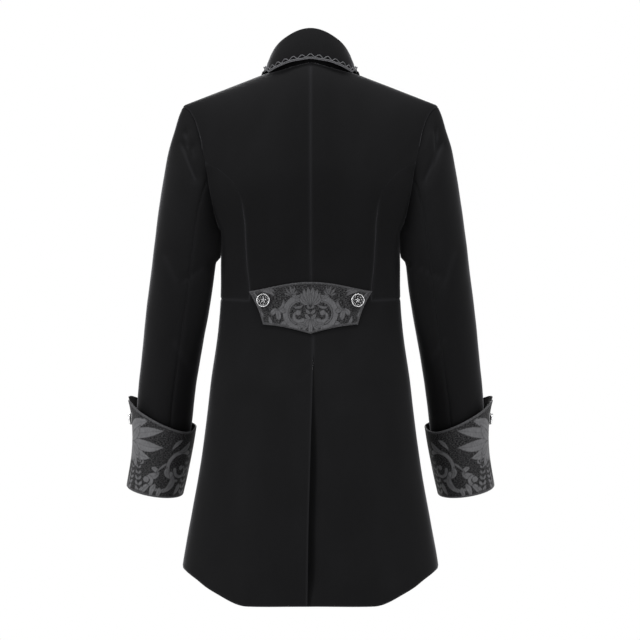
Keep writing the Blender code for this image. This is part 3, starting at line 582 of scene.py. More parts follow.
def back_angle(share):
    """The angle from centre back whose share of the half width is this."""
    share = np.clip(share, -1.0, 1.0)
    return np.sign(share) * np.arcsin(np.abs(share) ** (SECTION_POWER / 2))


def front_angle(share):
    return math.pi - back_angle(share)


def arch(rise, power):
    """How much of the depth is left at a rise: all at 0, none at 1."""
    return np.maximum(1 - rise**power, 0.0) ** (1 / power)


def hem_height(angle):
    return table(HEM, np.degrees(np.abs(angle)))


def ridge_height(x):
    return RIDGE_TOP - RIDGE_SLOPE * (np.hypot(x, RIDGE_ROUND) - RIDGE_ROUND)


def bodice_depth(across, rise, is_back):
    """The bodice's depth from its middle, back or front, at a share of the width and a rise."""
    power = NAPE_POWER + (SHOULDER_POWER - NAPE_POWER) * ramp(0.0, SHOULDER_FROM, np.abs(across))
    back = WAIST_BACK * arch(rise, power) * (1 + BLADE_SWELL * ramp(0, BLADE_RISE, rise))
    front = WAIST_FRONT * arch(rise, FRONT_POWER) * (1 + CHEST_SWELL * ramp(0, CHEST_RISE, rise))
    return np.where(is_back, back, front)


def coat(angle, level):
    """Points of the coat's outer surface: level 0 to 1 is the bodice's rise, 0 to -1 the skirt."""
    angle, level = np.broadcast_arrays(np.asarray(angle, float), np.asarray(level, float))
    across, deep = section(angle)
    is_back = deep >= 0
    rise = np.clip(level, 0.0, 1.0)
    height = WAIST_Z + (ridge_height(across * RIDGE_HALF) - WAIST_Z) * rise
    bodice = vec(across * table(BODICE, rise), deep * bodice_depth(across, rise, is_back), height)
    height = WAIST_Z - np.minimum(level, 0.0) * (hem_height(angle) - WAIST_Z)
    fold = FOLD_DEPTH * ramp(FOLD_START, FOLD_RUN, WAIST_Z - height) * np.sin(FOLD_COUNT * angle)
    depth = np.where(is_back, table(SKIRT, height, 2), table(SKIRT, height, 3))
    skirt = vec(across * table(SKIRT, height) * (1 + fold), deep * depth * (1 + fold), height)
    return np.where((level >= 0)[..., None], bodice, skirt)


def outward(angle, level):
    """The coat surface's outward unit normals."""
    high = np.minimum(level + STEP, 1.0)
    beside = np.minimum(level, 1.0 - STEP)
    up = coat(angle, high) - coat(angle, high - 2 * STEP)
    return unit(np.cross(up, coat(angle + STEP, beside) - coat(angle - STEP, beside)))


def armhole_angle(rise, is_back):
    """The angle of the armhole's edge, which cuts in from the side, at a rise."""
    climb = (rise - ARMHOLE_BOTTOM) / (1 - ARMHOLE_BOTTOM)
    turn = np.sin(0.5 * math.pi * np.clip(climb / ARMHOLE_ROUND, 0.0, 1.0)) ** (SECTION_POWER / 2)
    cut = ARMHOLE_CUT + np.where(is_back, 0.0, ARMHOLE_FRONT_MORE * (1 - climb))
    share = 1 - cut * turn
    return np.where(is_back, back_angle(share), front_angle(share))


def on_torso(x, z, is_back):
    """Angle and level of the coat's points with this x and z, found by settling round after round."""
    x, z, is_back = np.broadcast_arrays(x, z, is_back)
    share = x / table(BODICE, 0.5)
    skirt_share = x / table(SKIRT, z)
    for _ in range(SETTLE_ROUNDS):
        rise = np.clip((z - WAIST_Z) / (ridge_height(share * RIDGE_HALF) - WAIST_Z), 0.0, 1.0)
        share = np.clip(x / table(BODICE, rise), -1.0, 1.0)
        angle = np.where(is_back, back_angle(skirt_share), front_angle(skirt_share))
        level = -np.minimum((z - WAIST_Z) / (hem_height(angle) - WAIST_Z), 1.0)
        across = section(angle)[0]
        half = coat(angle, level)[..., 0] / np.where(np.abs(across) > LEAST_SHARE, across, 1.0)
        skirt_share = np.where(np.abs(across) > LEAST_SHARE, x / np.maximum(half, LEAST_HALF), 0.0)
    upper = np.where(is_back, back_angle(share), front_angle(share))
    lower = np.where(is_back, back_angle(skirt_share), front_angle(skirt_share))
    return np.where(z < WAIST_Z, lower, upper), np.where(z < WAIST_Z, level, rise)


def princess_angle(rise):
    return np.where(rise >= TIP_RISE, armhole_angle(rise, True), back_angle(table(PRINCESS, rise)))


def neckline_x(rise):
    climb = np.maximum((rise - NECKLINE_BREAK) / (1 - NECKLINE_BREAK), 0.0)
    return -FRONT_LAP + (NECK_HALF + FRONT_LAP) * climb


def lane_stops(length, count):
    """Distances along rows of cloth of these lengths: close at both edges, even between them."""
    near = np.outer(np.minimum(length / (4 * EDGE_LANES[-1]), 1.0), EDGE_LANES)
    even = np.linspace(0, 1, count + 3 - 2 * len(EDGE_LANES))[1:-1]
    start, stop = near[:, -1:], length[:, None] - near[:, -1:]
    return np.hstack([near, start + (stop - start) * even, length[:, None] - near[:, ::-1]])


def cuts(line, bounds, step):
    """Where to cut a bundle of lines, one row for each, and the places of the bounds."""
    found = []
    marks = [0]
    for low, high in zip(bounds, bounds[1:]):
        shares = np.linspace(low, high, SAMPLES)
        points = line(shares)
        run = run_along(points, 1)
        count = max(round(run[:, -1].max() / step), 2 * len(EDGE_LANES))
        stops = lane_stops(run[:, -1], count)
        cut = np.stack([np.interp(stop, row, shares) for stop, row in zip(stops, run)])
        found.append(cut[:, 1:] if found else cut)
        marks.append(marks[-1] + cut.shape[1] - 1)
    return np.hstack(found), marks


def grid_of(surface, u_bounds, v_bounds, step, u_middle):
    """Shares across and up a piece, spaced by real distances, and the columns of the bounds."""
    v, v_marks = cuts(lambda s: surface(np.full_like(s, u_middle), s)[None], v_bounds, step)
    u, u_marks = cuts(lambda s: surface(s[None, :], v[0][:, None]), u_bounds, step)
    return u, np.broadcast_to(v[0][:, None], u.shape), u_marks, v_marks


def piece_middle(points):
    """The middle of the hollow that a piece is wrapped round, a little below each point."""
    out = np.abs(points[..., 0]).mean()
    return vec(out if out > ARM_OUT else 0.0, 0.0, points[..., 2] - MIDDLE_DROP)


def facing_out(points):
    """The unit normals of a grid of points, away from the hollow that it is wrapped round."""
    outs = unit(np.cross(np.gradient(points, axis=1), np.gradient(points, axis=0)))
    return -outs if np.median(dot(outs, points - piece_middle(points))) < 0 else outs


def border_distance(points, kept):
    """How far each grid point lies from the edge of its piece, along the cloth."""
    rows, columns = kept.shape
    padded = np.pad(kept, 1)
    number = np.arange((rows + 1) * (columns + 1)).reshape(rows + 1, columns + 1)
    ends = []
    flat = padded[:-1, 1:-1] != padded[1:, 1:-1]
    ends += [(number[j, i], number[j, i + 1]) for j, i in np.argwhere(flat)]
    tall = padded[1:-1, :-1] != padded[1:-1, 1:]
    ends += [(number[j, i], number[j + 1, i]) for j, i in np.argwhere(tall)]
    spots = points.reshape(-1, 3)
    beside = {}
    for a, b in ends:
        beside.setdefault(a, []).append(b)
        beside.setdefault(b, []).append(a)
    names = list(beside)
    tree = KDTree(len(names))
    for index, name in enumerate(names):
        tree.insert(spots[name], index)
    tree.balance()
    near = np.array([names[tree.find(spot)[1]] for spot in spots])
    best = np.full(len(spots), FAR)
    for turn in (0, -1):
        other = np.array([beside[name][turn] for name in near])
        start, along = spots[near], spots[other] - spots[near]
        share = np.clip(dot(spots - start, along) / np.maximum(dot(along, along), TINY), 0, 1)
        best = np.minimum(best, np.linalg.norm(spots - start - share * along, axis=-1))
    return best.reshape(points.shape[:2])


def creased(points, outs, narrow=1.0):
    """How far the velvet is pressed in at each point, by creases of this share of their width."""
    total = np.zeros(points.shape[:2])
    plane = points[..., (0, 2)]
    for x0, z0, x1, z1, facing, depth, width in CREASES:
        start, along = np.array((x0, z0)), np.array((x1 - x0, z1 - z0))
        share = ((plane - start) @ along) / (along @ along)
        gap = np.linalg.norm(plane - start - np.clip(share, 0, 1)[..., None] * along, axis=-1)
        faces = ramp(0.0, 0.5, facing * outs[..., 1])
        total += depth * np.exp(-((gap / (width * narrow)) ** 2)) * faces
    return total


def wander(points, size, seed):
    """A soft uneven swell, from -1 to 1, with waves of about this size."""
    random = np.random.default_rng(seed)
    total = np.zeros(points.shape[:-1])
    for _ in range(WAVES):
        way = unit(random.normal(size=3)) * TURN / size * random.uniform(0.6, 1.4)
        total += np.sin(points @ way + random.uniform(0, TURN))
    return total / WAVES


def swelled(points, rows, edge, fade):
    """The cloth's uneven swells at each point, which die away toward its edge."""
    swell = sum(share * wander(points, size, seed) for size, seed, share in rows)
    return bpy.context.scene.tailcoat_sizes.swell * swell * ramp(0.0, fade, edge)


def cloth(name, points, outs, finish, slot, kept, plane=None, **marks):
    """Makes a shell from a grid of points, with its cut as a UV map. Marks are numbers for its material."""
    number = np.arange(points.shape[0] * points.shape[1]).reshape(points.shape[:2])
    corners = [number[:-1, :-1], number[:-1, 1:], number[1:, 1:], number[1:, :-1]]
    faces = np.stack(corners, axis=-1)[kept]
    turned = np.cross(points[:-1, 1:] - points[:-1, :-1], points[1:, :-1] - points[:-1, :-1])
    if np.median(dot(turned, (outs[:-1, :-1] + outs[1:, 1:]) / 2)) < 0:
        faces = faces[:, ::-1]
    used = np.unique(faces)
    place = np.zeros(number.size, int)
    place[used] = np.arange(len(used))
    mesh = bpy.data.meshes.new(name)
    mesh.from_pydata(points.reshape(-1, 3)[used].tolist(), [], place[faces].tolist())
    run_u, run_v = run_along(points, 1), run_along(points, 0)
    plane = np.stack([run_u, run_v], axis=-1) if plane is None else plane
    uv = mesh.uv_layers.new(name="cut")
    loops = np.zeros(len(mesh.loops), int)
    mesh.loops.foreach_get("vertex_index", loops)
    uv.data.foreach_set("uv", plane.reshape(-1, 2)[used][loops].ravel().astype(np.float32))
    for mark, values in marks.items():
        layer = mesh.attributes.new(mark, "FLOAT", "POINT")
        layer.data.foreach_set("value", values.ravel()[used].astype(np.float32))
    mesh.shade_smooth()
    mesh.materials.append(material(finish))
    mesh.materials.append(material("cotton_backing"))
    made = new_object(name, mesh)
    shell = made.modifiers.new("cloth", "SOLIDIFY")
    shell.thickness = bpy.context.scene.tailcoat_sizes.thickness
    shell.offset = -1
    shell.material_offset = 1
    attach(made, "root")
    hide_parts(name)


def pressed_flat(points):
    """How much of a seam's roll is left: the back's long seams fade into the pile above the waist."""
    ring = coat(*ring_at(np.linspace(0, len(ARMHOLE_RISES) - 1, 60))) * (np.sign(points[..., 0].mean()), 1, 1)
    armhole = np.linalg.norm(points[..., None, :] - ring, axis=-1).min(axis=-1)
    high = ramp(*FADE_FOOT, points[..., 2]) * ramp(*FADE_TOP, points[..., 2])
    return 1 - FADE_SHARE * ramp(*FADE_ACROSS, np.abs(points[..., 0])) * high * ramp(*FADE_ARMHOLE, armhole)


def velvet_piece(name, surface, side, u_bounds, v_bounds, u_middle, keep=None, shaped=None):
    """A velvet piece: spaced by real distances, seams rolled in, creases pressed and swells added."""
    sizes = bpy.context.scene.tailcoat_sizes
    u, v, u_marks, v_marks = grid_of(surface, u_bounds, v_bounds, sizes.velvet_step, u_middle)
    points = surface(u, v)
    outs = facing_out(points)
    if shaped is not None:
        points = points + outs * shaped(points)[..., None]
    kept = np.ones((points.shape[0] - 1, points.shape[1] - 1), bool)
    if keep is not None:
        kept = keep(kept, u_marks, v_marks)
    edge = border_distance(points, kept)
    points, outs = points * (side, 1, 1), outs * (side, 1, 1)
    roll = np.exp(-((edge / sizes.seam_width) ** 2))
    if name.startswith(("back", "side_body")):
        roll = roll * pressed_flat(points)
    sunk = sizes.seam_dip * roll + creased(points, outs)
    swell = swelled(points, VELVET_SWELLS, edge, VELVET_SWELL_EDGE)
    points = points - outs * (sunk - swell)[..., None]
    # The seam mark is painted sheen: the velvet's colour is paled along each seam, and on a sleeve along its
    # creases too
    seam = roll
    if "sleeve" in name:
        pale = np.clip(creased(points, outs, CREASE_SHEEN_WIDTH) / CREASE_SHEEN_DEPTH, 0.0, 1.0)
        seam = np.maximum(SLEEVE_SEAM_SHOWS * roll, CREASE_SHEEN * pale)
    cloth(name, points, outs, "cotton_velvet", "velvet", kept, seam=seam)


def back_surface(side):
    """The centre back panel: across -1 to 0 is the vent's underlap, 1 to 2 lies past the princess seam."""

    def surface(u, v):
        u, v = np.broadcast_arrays(u, v)
        edge_x = side * table(CENTRE_BACK, coat(0.0, v)[..., 2])
        half = coat(CENTRE_ANGLE, v)[..., 0] / section(CENTRE_ANGLE)[0]
        edge = back_angle(edge_x / half)
        lap = back_angle((edge_x + VENT_UNDERLAP * np.minimum(u, 0)) / half)
        seam = princess_angle(np.maximum(v, 0))
        inner = edge + (seam - edge) * np.clip(u, 0, 1)
        outer = seam + (0.5 * math.pi - seam) * (u - 1)
        angle = np.where(u < 0, lap, np.where(u <= 1, inner, outer))
        share = section(angle)[0] * RIDGE_HALF / NECK_HALF
        dip = NECK_DIP * np.maximum(1 - share * share, 0) ** DIP_ROUND
        level = np.where(v > 0, v * (1 - dip * v**DIP_FADE), v)
        return coat(angle, level)

    return surface


def side_body_surface(u, v):
    """A four-sided patch: waist seam, princess seam, side seam, and the armhole between them."""
    u, v = np.broadcast_arrays(u, v)
    rises = np.array([rise for rise in ARMHOLE_RISES if rise <= TIP_RISE][::-1])
    rise = np.interp(u, np.linspace(0, 1, len(rises)), rises)
    level = -WAIST_SEAM + (TIP_RISE + WAIST_SEAM) * v
    left = (princess_angle(level), level)
    top = (armhole_angle(rise, True), rise)
    foot = (princess_angle(np.zeros(1)), -WAIST_SEAM)
    foot_corner = (0.5 * math.pi, -WAIST_SEAM)
    corner = (0.5 * math.pi, ARMHOLE_BOTTOM)
    tip = (armhole_angle(np.array([TIP_RISE]), True), TIP_RISE)
    found = []
    for axis in (0, 1):
        right = foot_corner[axis] + (corner[axis] - foot_corner[axis]) * v
        bottom = foot[axis] + (foot_corner[axis] - foot[axis]) * u
        edges = (1 - u) * left[axis] + u * right + (1 - v) * bottom + v * top[axis]
        lower = (1 - u) * (1 - v) * foot[axis] + u * (1 - v) * foot_corner[axis]
        upper = (1 - u) * v * tip[axis] + u * v * corner[axis]
        found.append(edges - lower - upper)
    return coat(*found)


def front_surface(u, v):
    outer = np.where(v < ARMHOLE_BOTTOM, 0.5 * math.pi, armhole_angle(v, False))
    start = front_angle(neckline_x(v) / table(BODICE, v))
    return coat(start + (outer - start) * u, v)


def front_skirt_surface(u, v):
    start = front_angle(-FRONT_LAP / SKIRT[0][1])
    return coat(start + (0.5 * math.pi - start) * u, v)


def lap_sink(points):
    """The right front passes under the left front's lap."""
    inner = FRONT_LAP + LAP_MARGIN
    return -LAP_SINK * ramp(inner + SINK_RUN, inner, points[..., 0])


def vent_sink(points):
    """The right side of the vent passes under the left."""
    edge = -table(CENTRE_BACK, points[..., 2])
    sunk = ramp(VENT_TOP + VENT_EASE, VENT_TOP, points[..., 2])
    open_share = ramp(VENT_TOP, VENT_WIDEST, points[..., 2]) * ramp(*VENT_HOLLOW_FADE, points[..., 2])
    hollow = VENT_HOLLOW * open_share
    near = ramp(edge + VENT_HOLLOW_RUN, edge + VENT_HOLLOW_EDGE, points[..., 0])
    return -LAP_SINK * sunk * ramp(edge + SINK_RUN, edge, points[..., 0]) - hollow * near


def vent_lift(points):
    """The left side of the vent stands a little proud of the right, most near its middle."""
    edge = table(CENTRE_BACK, points[..., 2])
    low = VENT_PROUD_LESS * ramp(*VENT_PROUD_FADE, points[..., 2])
    span = ramp(VENT_TOP, VENT_WIDEST, points[..., 2]) * (1 - low)
    return VENT_PROUD * span * np.exp(-(((points[..., 0] - edge) / VENT_PROUD_RUN) ** 2))


def ring_at(column):
    """Angle and rise of the armhole at fractional columns round it, from the shoulder down the back."""
    half = len(ARMHOLE_RISES) - 1
    place = np.mod(column, 2 * half)
    is_back = place <= half
    rises = np.array(ARMHOLE_RISES)
    down = np.interp(place, np.arange(half + 1), rises[::-1])
    rise = np.where(is_back, down, np.interp(place - half, np.arange(half + 1), rises))
    return armhole_angle(rise, is_back), rise


def ring_turn(column):
    """The angle round the sleeve at each armhole column, by its share of the way round."""
    half = len(ARMHOLE_RISES) - 1
    points = coat(*ring_at(np.arange(2 * half + 1)))
    spans = np.linalg.norm(np.diff(points, axis=0), axis=-1)
    turns = [0.0]
    for start in (0, half):
        run = np.cumsum(spans[start : start + half])
        turns += list(math.pi * (start // half + run / run[-1]))
    turns = np.array(turns)
    places = np.arange(-2 * half, 4 * half + 1)
    laps = np.floor_divide(places, 2 * half)
    return np.interp(column, places, turns[np.mod(places, 2 * half)] + TURN * laps)


def sleeve_tube(station, turn, grown=0.0):
    """Points on the sleeve's own tube: turn 0 is the outer side, a quarter turn the back."""
    rows = [(index, *row) for index, row in enumerate(SLEEVE)]
    outer_x, outer_z, inner_x, inner_z, centre_y, depth, drop = (
        table(rows, station, column) for column in range(1, 8)
    )
    outer, inner = vec(outer_x, 0.0, outer_z), vec(inner_x, 0.0, inner_z)
    drop = np.radians(drop)
    half = np.linalg.norm(outer - inner, axis=-1) / 2 + grown
    centre = (outer + inner) / 2 + vec(0.0, centre_y, 0.0)
    back = vec(0.0, np.cos(drop), -np.sin(drop))
    wide = unit(outer - inner) * (half * np.cos(turn))[..., None]
    return centre + wide + back * ((depth + grown) * np.sin(turn))[..., None]


def sleeve_surface(column, up):
    """The sleeve from its foot, up 0, to the armhole, up 1."""
    column, up = np.broadcast_arrays(column, up)
    station = SLEEVE_LAST * (1 - up)
    spot = ring_at(column)
    start = tucked(spot)
    turn = ring_turn(column)
    fade = np.maximum(1 - station / HEAD_STATIONS, 0.0) ** HEAD_FADE
    points = sleeve_tube(station, turn) + (start - sleeve_tube(0 * station, turn)) * fade[..., None]
    return points - armpit_fold(points)[..., None] * ARMPIT_WAY


def tucked(spot):
    """The sleeve's edge at the armhole; low down it is tucked a little way under the bodice."""
    low = ramp(TUCK_FROM, TUCK_FULL, spot[1])[..., None]
    edge, out = coat(*spot), outward(*spot)
    away = edge - coat(*ring_at(np.arange(2 * len(ARMHOLE_RISES) - 2))).mean(axis=0)
    away = unit(away - out * dot(away, out))
    return edge - out * (HEAD_TUCK + TUCK_DEEPER * low) + away * TUCK_UNDER * low


def armpit_fold(points):
    """How far the sleeve's cloth folds over toward the back, under the armpit."""
    x, y, z = points[..., 0], points[..., 1], points[..., 2]
    level = ramp(*ARMPIT_TOP, z) * ramp(*ARMPIT_FOOT, z)
    behind = ramp(*ARMPIT_FRONT, y) * ramp(*ARMPIT_BACK, y)
    return ARMPIT_FOLD * level * behind * ramp(*ARMPIT_OUT, x)


def cuff_surface(u, v):
    """The cuff's outer face: across from the slit round the back, up from the fold to the free edge."""
    u, v = np.broadcast_arrays(u, v)
    slit = SLIT_ANGLE + SLIT_OPEN_ANGLE * ramp(SLIT_OPEN_FROM, 1.0, v)
    turn = slit + (360 - 2 * slit) * u
    fold = np.minimum(turn, 360 - turn)
    station = SLEEVE_LAST - table(CUFF, fold) * v / CUFF_STEP
    flare = CUFF_FLARE * v * ramp(0.0, CUFF_FLARE_ANGLE, fold)
    tip = CUFF_TIP_FLARE * ramp(CUFF_TIP_ANGLE, 0.0, fold) * v**CUFF_TIP_POWER
    return sleeve_tube(station, np.radians(turn), CUFF_CLEAR + flare + tip)


def neck_spot(size):
    """Angle and level of the neck seam, and of the front's V edge, at collar stations."""
    share = NECK_HALF / RIDGE_HALF * np.sin(0.5 * math.pi * np.minimum(size / SHOULDER_STATION, 1))
    inside = np.maximum(1 - (share * RIDGE_HALF / NECK_HALF) ** 2, 0.0)
    climb = np.maximum((size - SHOULDER_STATION) / (1 - SHOULDER_STATION), 0.0)
    rise = 1 - (1 - NECKLINE_CROSS) * climb * climb
    on_back = size <= SHOULDER_STATION
    front = front_angle(neckline_x(rise) / table(BODICE, rise))
    level = np.where(on_back, 1 - NECK_DIP * inside**DIP_ROUND, rise)
    return np.where(on_back, back_angle(share), front), level


def lapel_share(station):
    return ramp(LAPEL_START, LAPEL_FULL, station)[..., None]


def along_of(line, size):
    """The direction of a line of stations; at centre back it runs level."""
    along = line(np.minimum(size + STATION_STEP, 1.0)) - line(np.maximum(size - STATION_STEP, 0.0))
    return unit(np.where((size < STATION_STEP)[..., None], (1.0, 0.0, 0.0), along))


def collar_base(size):
    """The stand's foot, the ways up and inward, and the roll line's point."""
    spot = neck_spot(size)
    neck, body_out = coat(*spot), outward(*spot)
    lapel = lapel_share(size)
    up = unit(np.array((0.0, 0.0, 1.0)) * (1 - lapel) + body_out * lapel)
    beyond = unit(np.cross(along_of(lambda s: coat(*neck_spot(s)), size), body_out))
    middle = vec(0.0, NECK_MIDDLE_Y, neck[..., 2])
    beyond = np.where(dot(beyond, middle - neck) < 0, -beyond, beyond)
    into = unit(beyond - up * dot(beyond, up))
    foot = neck + beyond * STAND_LIFT
    roll = foot + up * table(STAND, size)[..., None] + into * table(STAND, size, 2)[..., None]
    return foot, up, into, roll


def fall_edge(size):
    """The fall's free edge by its table, laid on the coat from behind the shoulder forward."""
    edge = vec(*(table(FALL, size, column) for column in (1, 2, 3)))
    spot = on_torso(edge[..., 0], edge[..., 2], False)
    laid = coat(*spot) + outward(*spot) * FALL_LAY
    return np.where((size >= LAID_FROM)[..., None], laid, edge)


def lifted(points):
    """Points moved out until the fall clears the coat under it."""
    for _ in range(2):
        spot = on_torso(points[..., 0], points[..., 2], points[..., 1] > 0)
        out = outward(*spot)
        gap = points - coat(*spot)
        near = (np.linalg.norm(gap, axis=-1, keepdims=True) < LIFT_NEAR) | (spot[1][..., None] < 1.0)
        points = points + out * np.maximum(FALL_LAY - dot(gap, out), 0.0) * near
    return points


def fall_cage():
    """The fall's rows of points from centre back to its foot, on the wearer's left."""
    size = np.linspace(0, 1, FALL_SPLITS // 2 + 1)
    _, up, _, roll = collar_base(size)
    along = along_of(lambda s: collar_base(s)[3], size)
    up = unit(up - along * dot(up, along))
    edge = fall_edge(size)
    out = unit(np.cross(along, up))
    out = np.where(dot(out, edge - roll) < 0, -out, out)
    lapel = lapel_share(size)
    rows = []
    beyond_stand = (size > STAND_END)[:, None]
    for across, high in ROLL_PROFILE:
        point = roll + out * across + up * high
        rows.append(np.where(beyond_stand, lifted(point), point))
    foot = roll + out * ROLL_FOOT[0] - up * ROLL_FOOT[1] * (1 - lapel)
    middle = (foot + edge) / 2 + out * FALL_BELLY * (1 - lapel) + up * LAPEL_LIFT * lapel
    for share in np.linspace(0, 1, FALL_RUN + 1):
        near, far = foot + (middle - foot) * share, middle + (edge - middle) * share
        rows.append(lifted(near + (far - near) * share))
    half = np.stack(rows, axis=1)
    return np.concatenate([half[:0:-1] * (-1, 1, 1), half])


def stand_cage():
    """The stand's rows of points from under the neck seam to the roll line."""
    size = np.linspace(0, STAND_END, STAND_SPLITS)
    foot, up, _, roll = collar_base(size)
    half = np.stack([foot - up * NECK_TURN, foot, foot + (roll - foot) / 2, roll], axis=1)
    return np.concatenate([half[:0:-1] * (-1, 1, 1), half])


def cage_surface(cage):
    """A smooth surface through a cage of points: across 0 to 1 along it, up 0 to 1 over its rows."""

    def surface(u, v):
        u, v = np.broadcast_arrays(u, v)
        columns, rows = cage.shape[0] - 1, cage.shape[1] - 1
        lines = smooth(cage, (u * columns).ravel())
        pick = np.arange(u.size)
        found = between(lambda index: lines[pick, index], (v * rows).ravel(), rows)
        return found.reshape(u.shape + (3,))

    return surface


# The brocade's motifs, in millimetres on the cut piece. The plane's zero is the belt's middle,
# or the cuff's fold at its slit. Each row is a kind of shape and its numbers:
# leaf: root x and y, tip x and y, bend, half width
# fan: root x and y, heading, spread, leaves, reach, half width
# curl: centre x and y, outer and inner radius, start, sweep, half width, bulb
# plume: foot x and y, tip x and y, bend, pairs of leaves, leaf length
BELT_MOTIF = (
    ("fan", 0, -20, -90, 130, 5, 26, 3.2),
    ("leaf", 10, -27, 52, -27, 0.10, 4.4),
    ("leaf", 8, -31, 36, -34, 0.06, 2.6),
    ("curl", 17, -9, 27, 25, 118, -200, 5.2, 0.1),
    ("curl", 17, -9, 20.5, 19, 100, -170, 1.0, 0.1),
    ("curl", 21, -13, 11, 5.0, -140, 235, 2.8, 4.4),
    ("plume", 0, -20, 0, 10, 0.0, 4, 13),
    ("fan", 0, 6, 90, 112, 8, 30, 3.5),
    ("leaf", 20, 16, 31, 35, -0.20, 3.2),
    ("leaf", 12, 6, 30, 3, -0.2, 1.8),
    ("fan", 56, -2, -100, 110, 3, 19, 3.8),
    ("leaf", 55, -3, 46, 15, 0.20, 2.0),
    ("fan", 32, 22, 80, 120, 5, 17, 1.2),
    ("leaf", 62, 22, 87, 30, 0.12, 3.4),
    ("leaf", 60, 27, 78, 34, 0.05, 1.8),
    ("leaf", 88, 8, 78, -16, 0.15, 2.8),
    ("leaf", 70, -14, 64, -27, 0.10, 2.2),
    ("leaf", 90, 12, 98, 26, 0.10, 2.4),
)
CUFF_MOTIF = (
    ("fan", 10, 92, 12, 66, 4, 80, 8.6),
    ("fan", 12, 84, -54, 54, 3, 44, 7.4),
    ("leaf", 4, 88, 40, 122, -0.14, 6.0),
    ("leaf", 3, 92, 14, 136, 0.10, 5.0),
    ("leaf", 84, 48, 66, 42, 0.25, 5.4),
    ("leaf", 82, 46, 70, 54, -0.25, 3.8),
    ("leaf", 80, 48, 106, 70, 0.10, 1.5),
    ("curl", 126, 60, 28, 26, 60, 200, 3.6, 0.1),
    ("curl", 128, 54, 15, 6, 170, 300, 3.0, 4.2),
    ("curl", 90, 34, 22, 20, 40, -150, 4.2, 0.1),
    ("curl", 66, 32, 10, 3, -60, 250, 3.2, 5.6),
    ("leaf", 98, 12, 112, 46, -0.18, 5.6),
    ("leaf", 60, 6, 70, 22, 0.10, 4.4),
    ("leaf", 106, 40, 99, 60, 0.20, 3.8),
    ("plume", 52, 4, 44, 62, 0.06, 6, 13),
    ("leaf", 44, 62, 43, 74, 0.1, 1.6),
    ("leaf", 46, 56, 53, 66, -0.2, 1.5),
    ("plume", 18, 2, 24, 58, -0.06, 6, 14),
    ("leaf", 76, 2, 82, 26, 0.08, 4.6),
    ("leaf", 88, 2, 90, 20, -0.06, 4.0),
    ("plume", 142, 4, 150, 92, 0.08, 8, 12),
    ("leaf", 118, 88, 140, 104, -0.14, 4.6),
    ("leaf", 104, 92, 120, 108, 0.10, 3.2),
    ("leaf", 122, 8, 128, 30, -0.10, 4.2),
    ("leaf", 152, 40, 164, 66, 0.14, 3.6),
)


def leaf(x0, y0, x1, y1, bend, width):
    """A leaf bowed to one side, as a path and its half widths."""
    root, tip = np.array((x0, y0), float), np.array((x1, y1), float)
    bow = np.array((y0 - y1, x1 - x0)) * bend
    path = [root, root * 0.67 + tip * 0.33 + bow * 0.85, root * 0.33 + tip * 0.67 + bow * 0.9, tip]
    return [(path, (0.25 * width, 0.9 * width, width, 0.1))]


def fan(x, y, heading, spread, count, reach, width):
    """Leaves that spread from one root, the middle ones longest."""
    found = []
    for turn in sorted(np.linspace(-1, 1, count), key=lambda t: -abs(t)):
        angle = math.radians(heading + spread * turn / 2)
        long = reach * (1 - 0.26 * turn * turn)
        found += leaf(x, y, x + long * math.cos(angle), y + long * math.sin(angle), 0.12 * turn, width)
    return found


def curl(x, y, outer, inner, start, sweep, width, bulb):
    """A scroll that winds in to a round bulb."""
    share = np.linspace(0, 1, 9)
    angle = np.radians(start + sweep * share)
    radius = outer + (inner - outer) * share**0.8
    path = np.stack([x + radius * np.cos(angle), y + radius * np.sin(angle)], axis=-1)
    return [(path, width * (1 - 0.35 * share)), ([path[-1], path[-1] + 0.01], (bulb, bulb))]


def plume(x0, y0, x1, y1, bend, pairs, long):
    """Pairs of leaves up a bowed stem."""
    root, tip = np.array((x0, y0), float), np.array((x1, y1), float)
    bow = np.array((y0 - y1, x1 - x0)) * bend
    heading = math.degrees(math.atan2(y1 - y0, x1 - x0))
    found = []
    for share in np.linspace(0.04, 0.94, pairs):
        x, y = root + (tip - root) * share + bow * math.sin(math.pi * share)
        size = long * (1 - 0.55 * share)
        for turn in (-44, 44):
            angle = math.radians(heading + turn)
            end = (x + size * math.cos(angle), y + size * math.sin(angle))
            found += leaf(x, y, *end, 0.1 * np.sign(turn), 0.2 * size)
    return found


KINDS = {"leaf": leaf, "fan": fan, "curl": curl, "plume": plume}


def woven(plane, rows, mirror_at):
    """The motif's share at each point of the cut piece, mirrored about a line across it."""
    x = mirror_at - np.abs(plane[..., 0] - mirror_at) if mirror_at else np.abs(plane[..., 0])
    spots = np.stack([x, plane[..., 1]], axis=-1).reshape(-1, 2) * 1000
    share = np.zeros(len(spots))
    for kind, *numbers in rows:
        for path, widths in KINDS[kind](*numbers):
            steps = np.linspace(0, len(path) - 1, 4 * (len(path) - 1) + 1)
            line, wide = smooth(path, steps), smooth(widths, steps)
            reach = wide.max() + MOTIF_MARGIN
            inside = ((spots > line.min(0) - reach) & (spots < line.max(0) + reach)).all(-1)
            near = spots[inside]
            gap = np.full(len(near), FAR)
            spine = np.full(len(near), FAR)
            for a, b, thick, thin in zip(line, line[1:], wide, wide[1:]):
                step = b - a
                part = np.clip(((near - a) @ step) / max(step @ step, TINY), 0, 1)
                away = np.linalg.norm(near - a - part[:, None] * step, axis=-1)
                gap = np.minimum(gap, away - thick - (thin - thick) * part)
                spine = np.minimum(spine, away)
            vein = VEIN_SHARE * np.exp(-((spine / VEIN_WIDTH) ** 2)) if kind != "curl" else 0.0
            cover = ramp(MOTIF_SOFT, -MOTIF_SOFT, gap) * (1 - vein)
            share[inside] = np.maximum(share[inside] * ramp(*MOTIF_GAP, gap), cover)
    return share.reshape(plane.shape[:2])


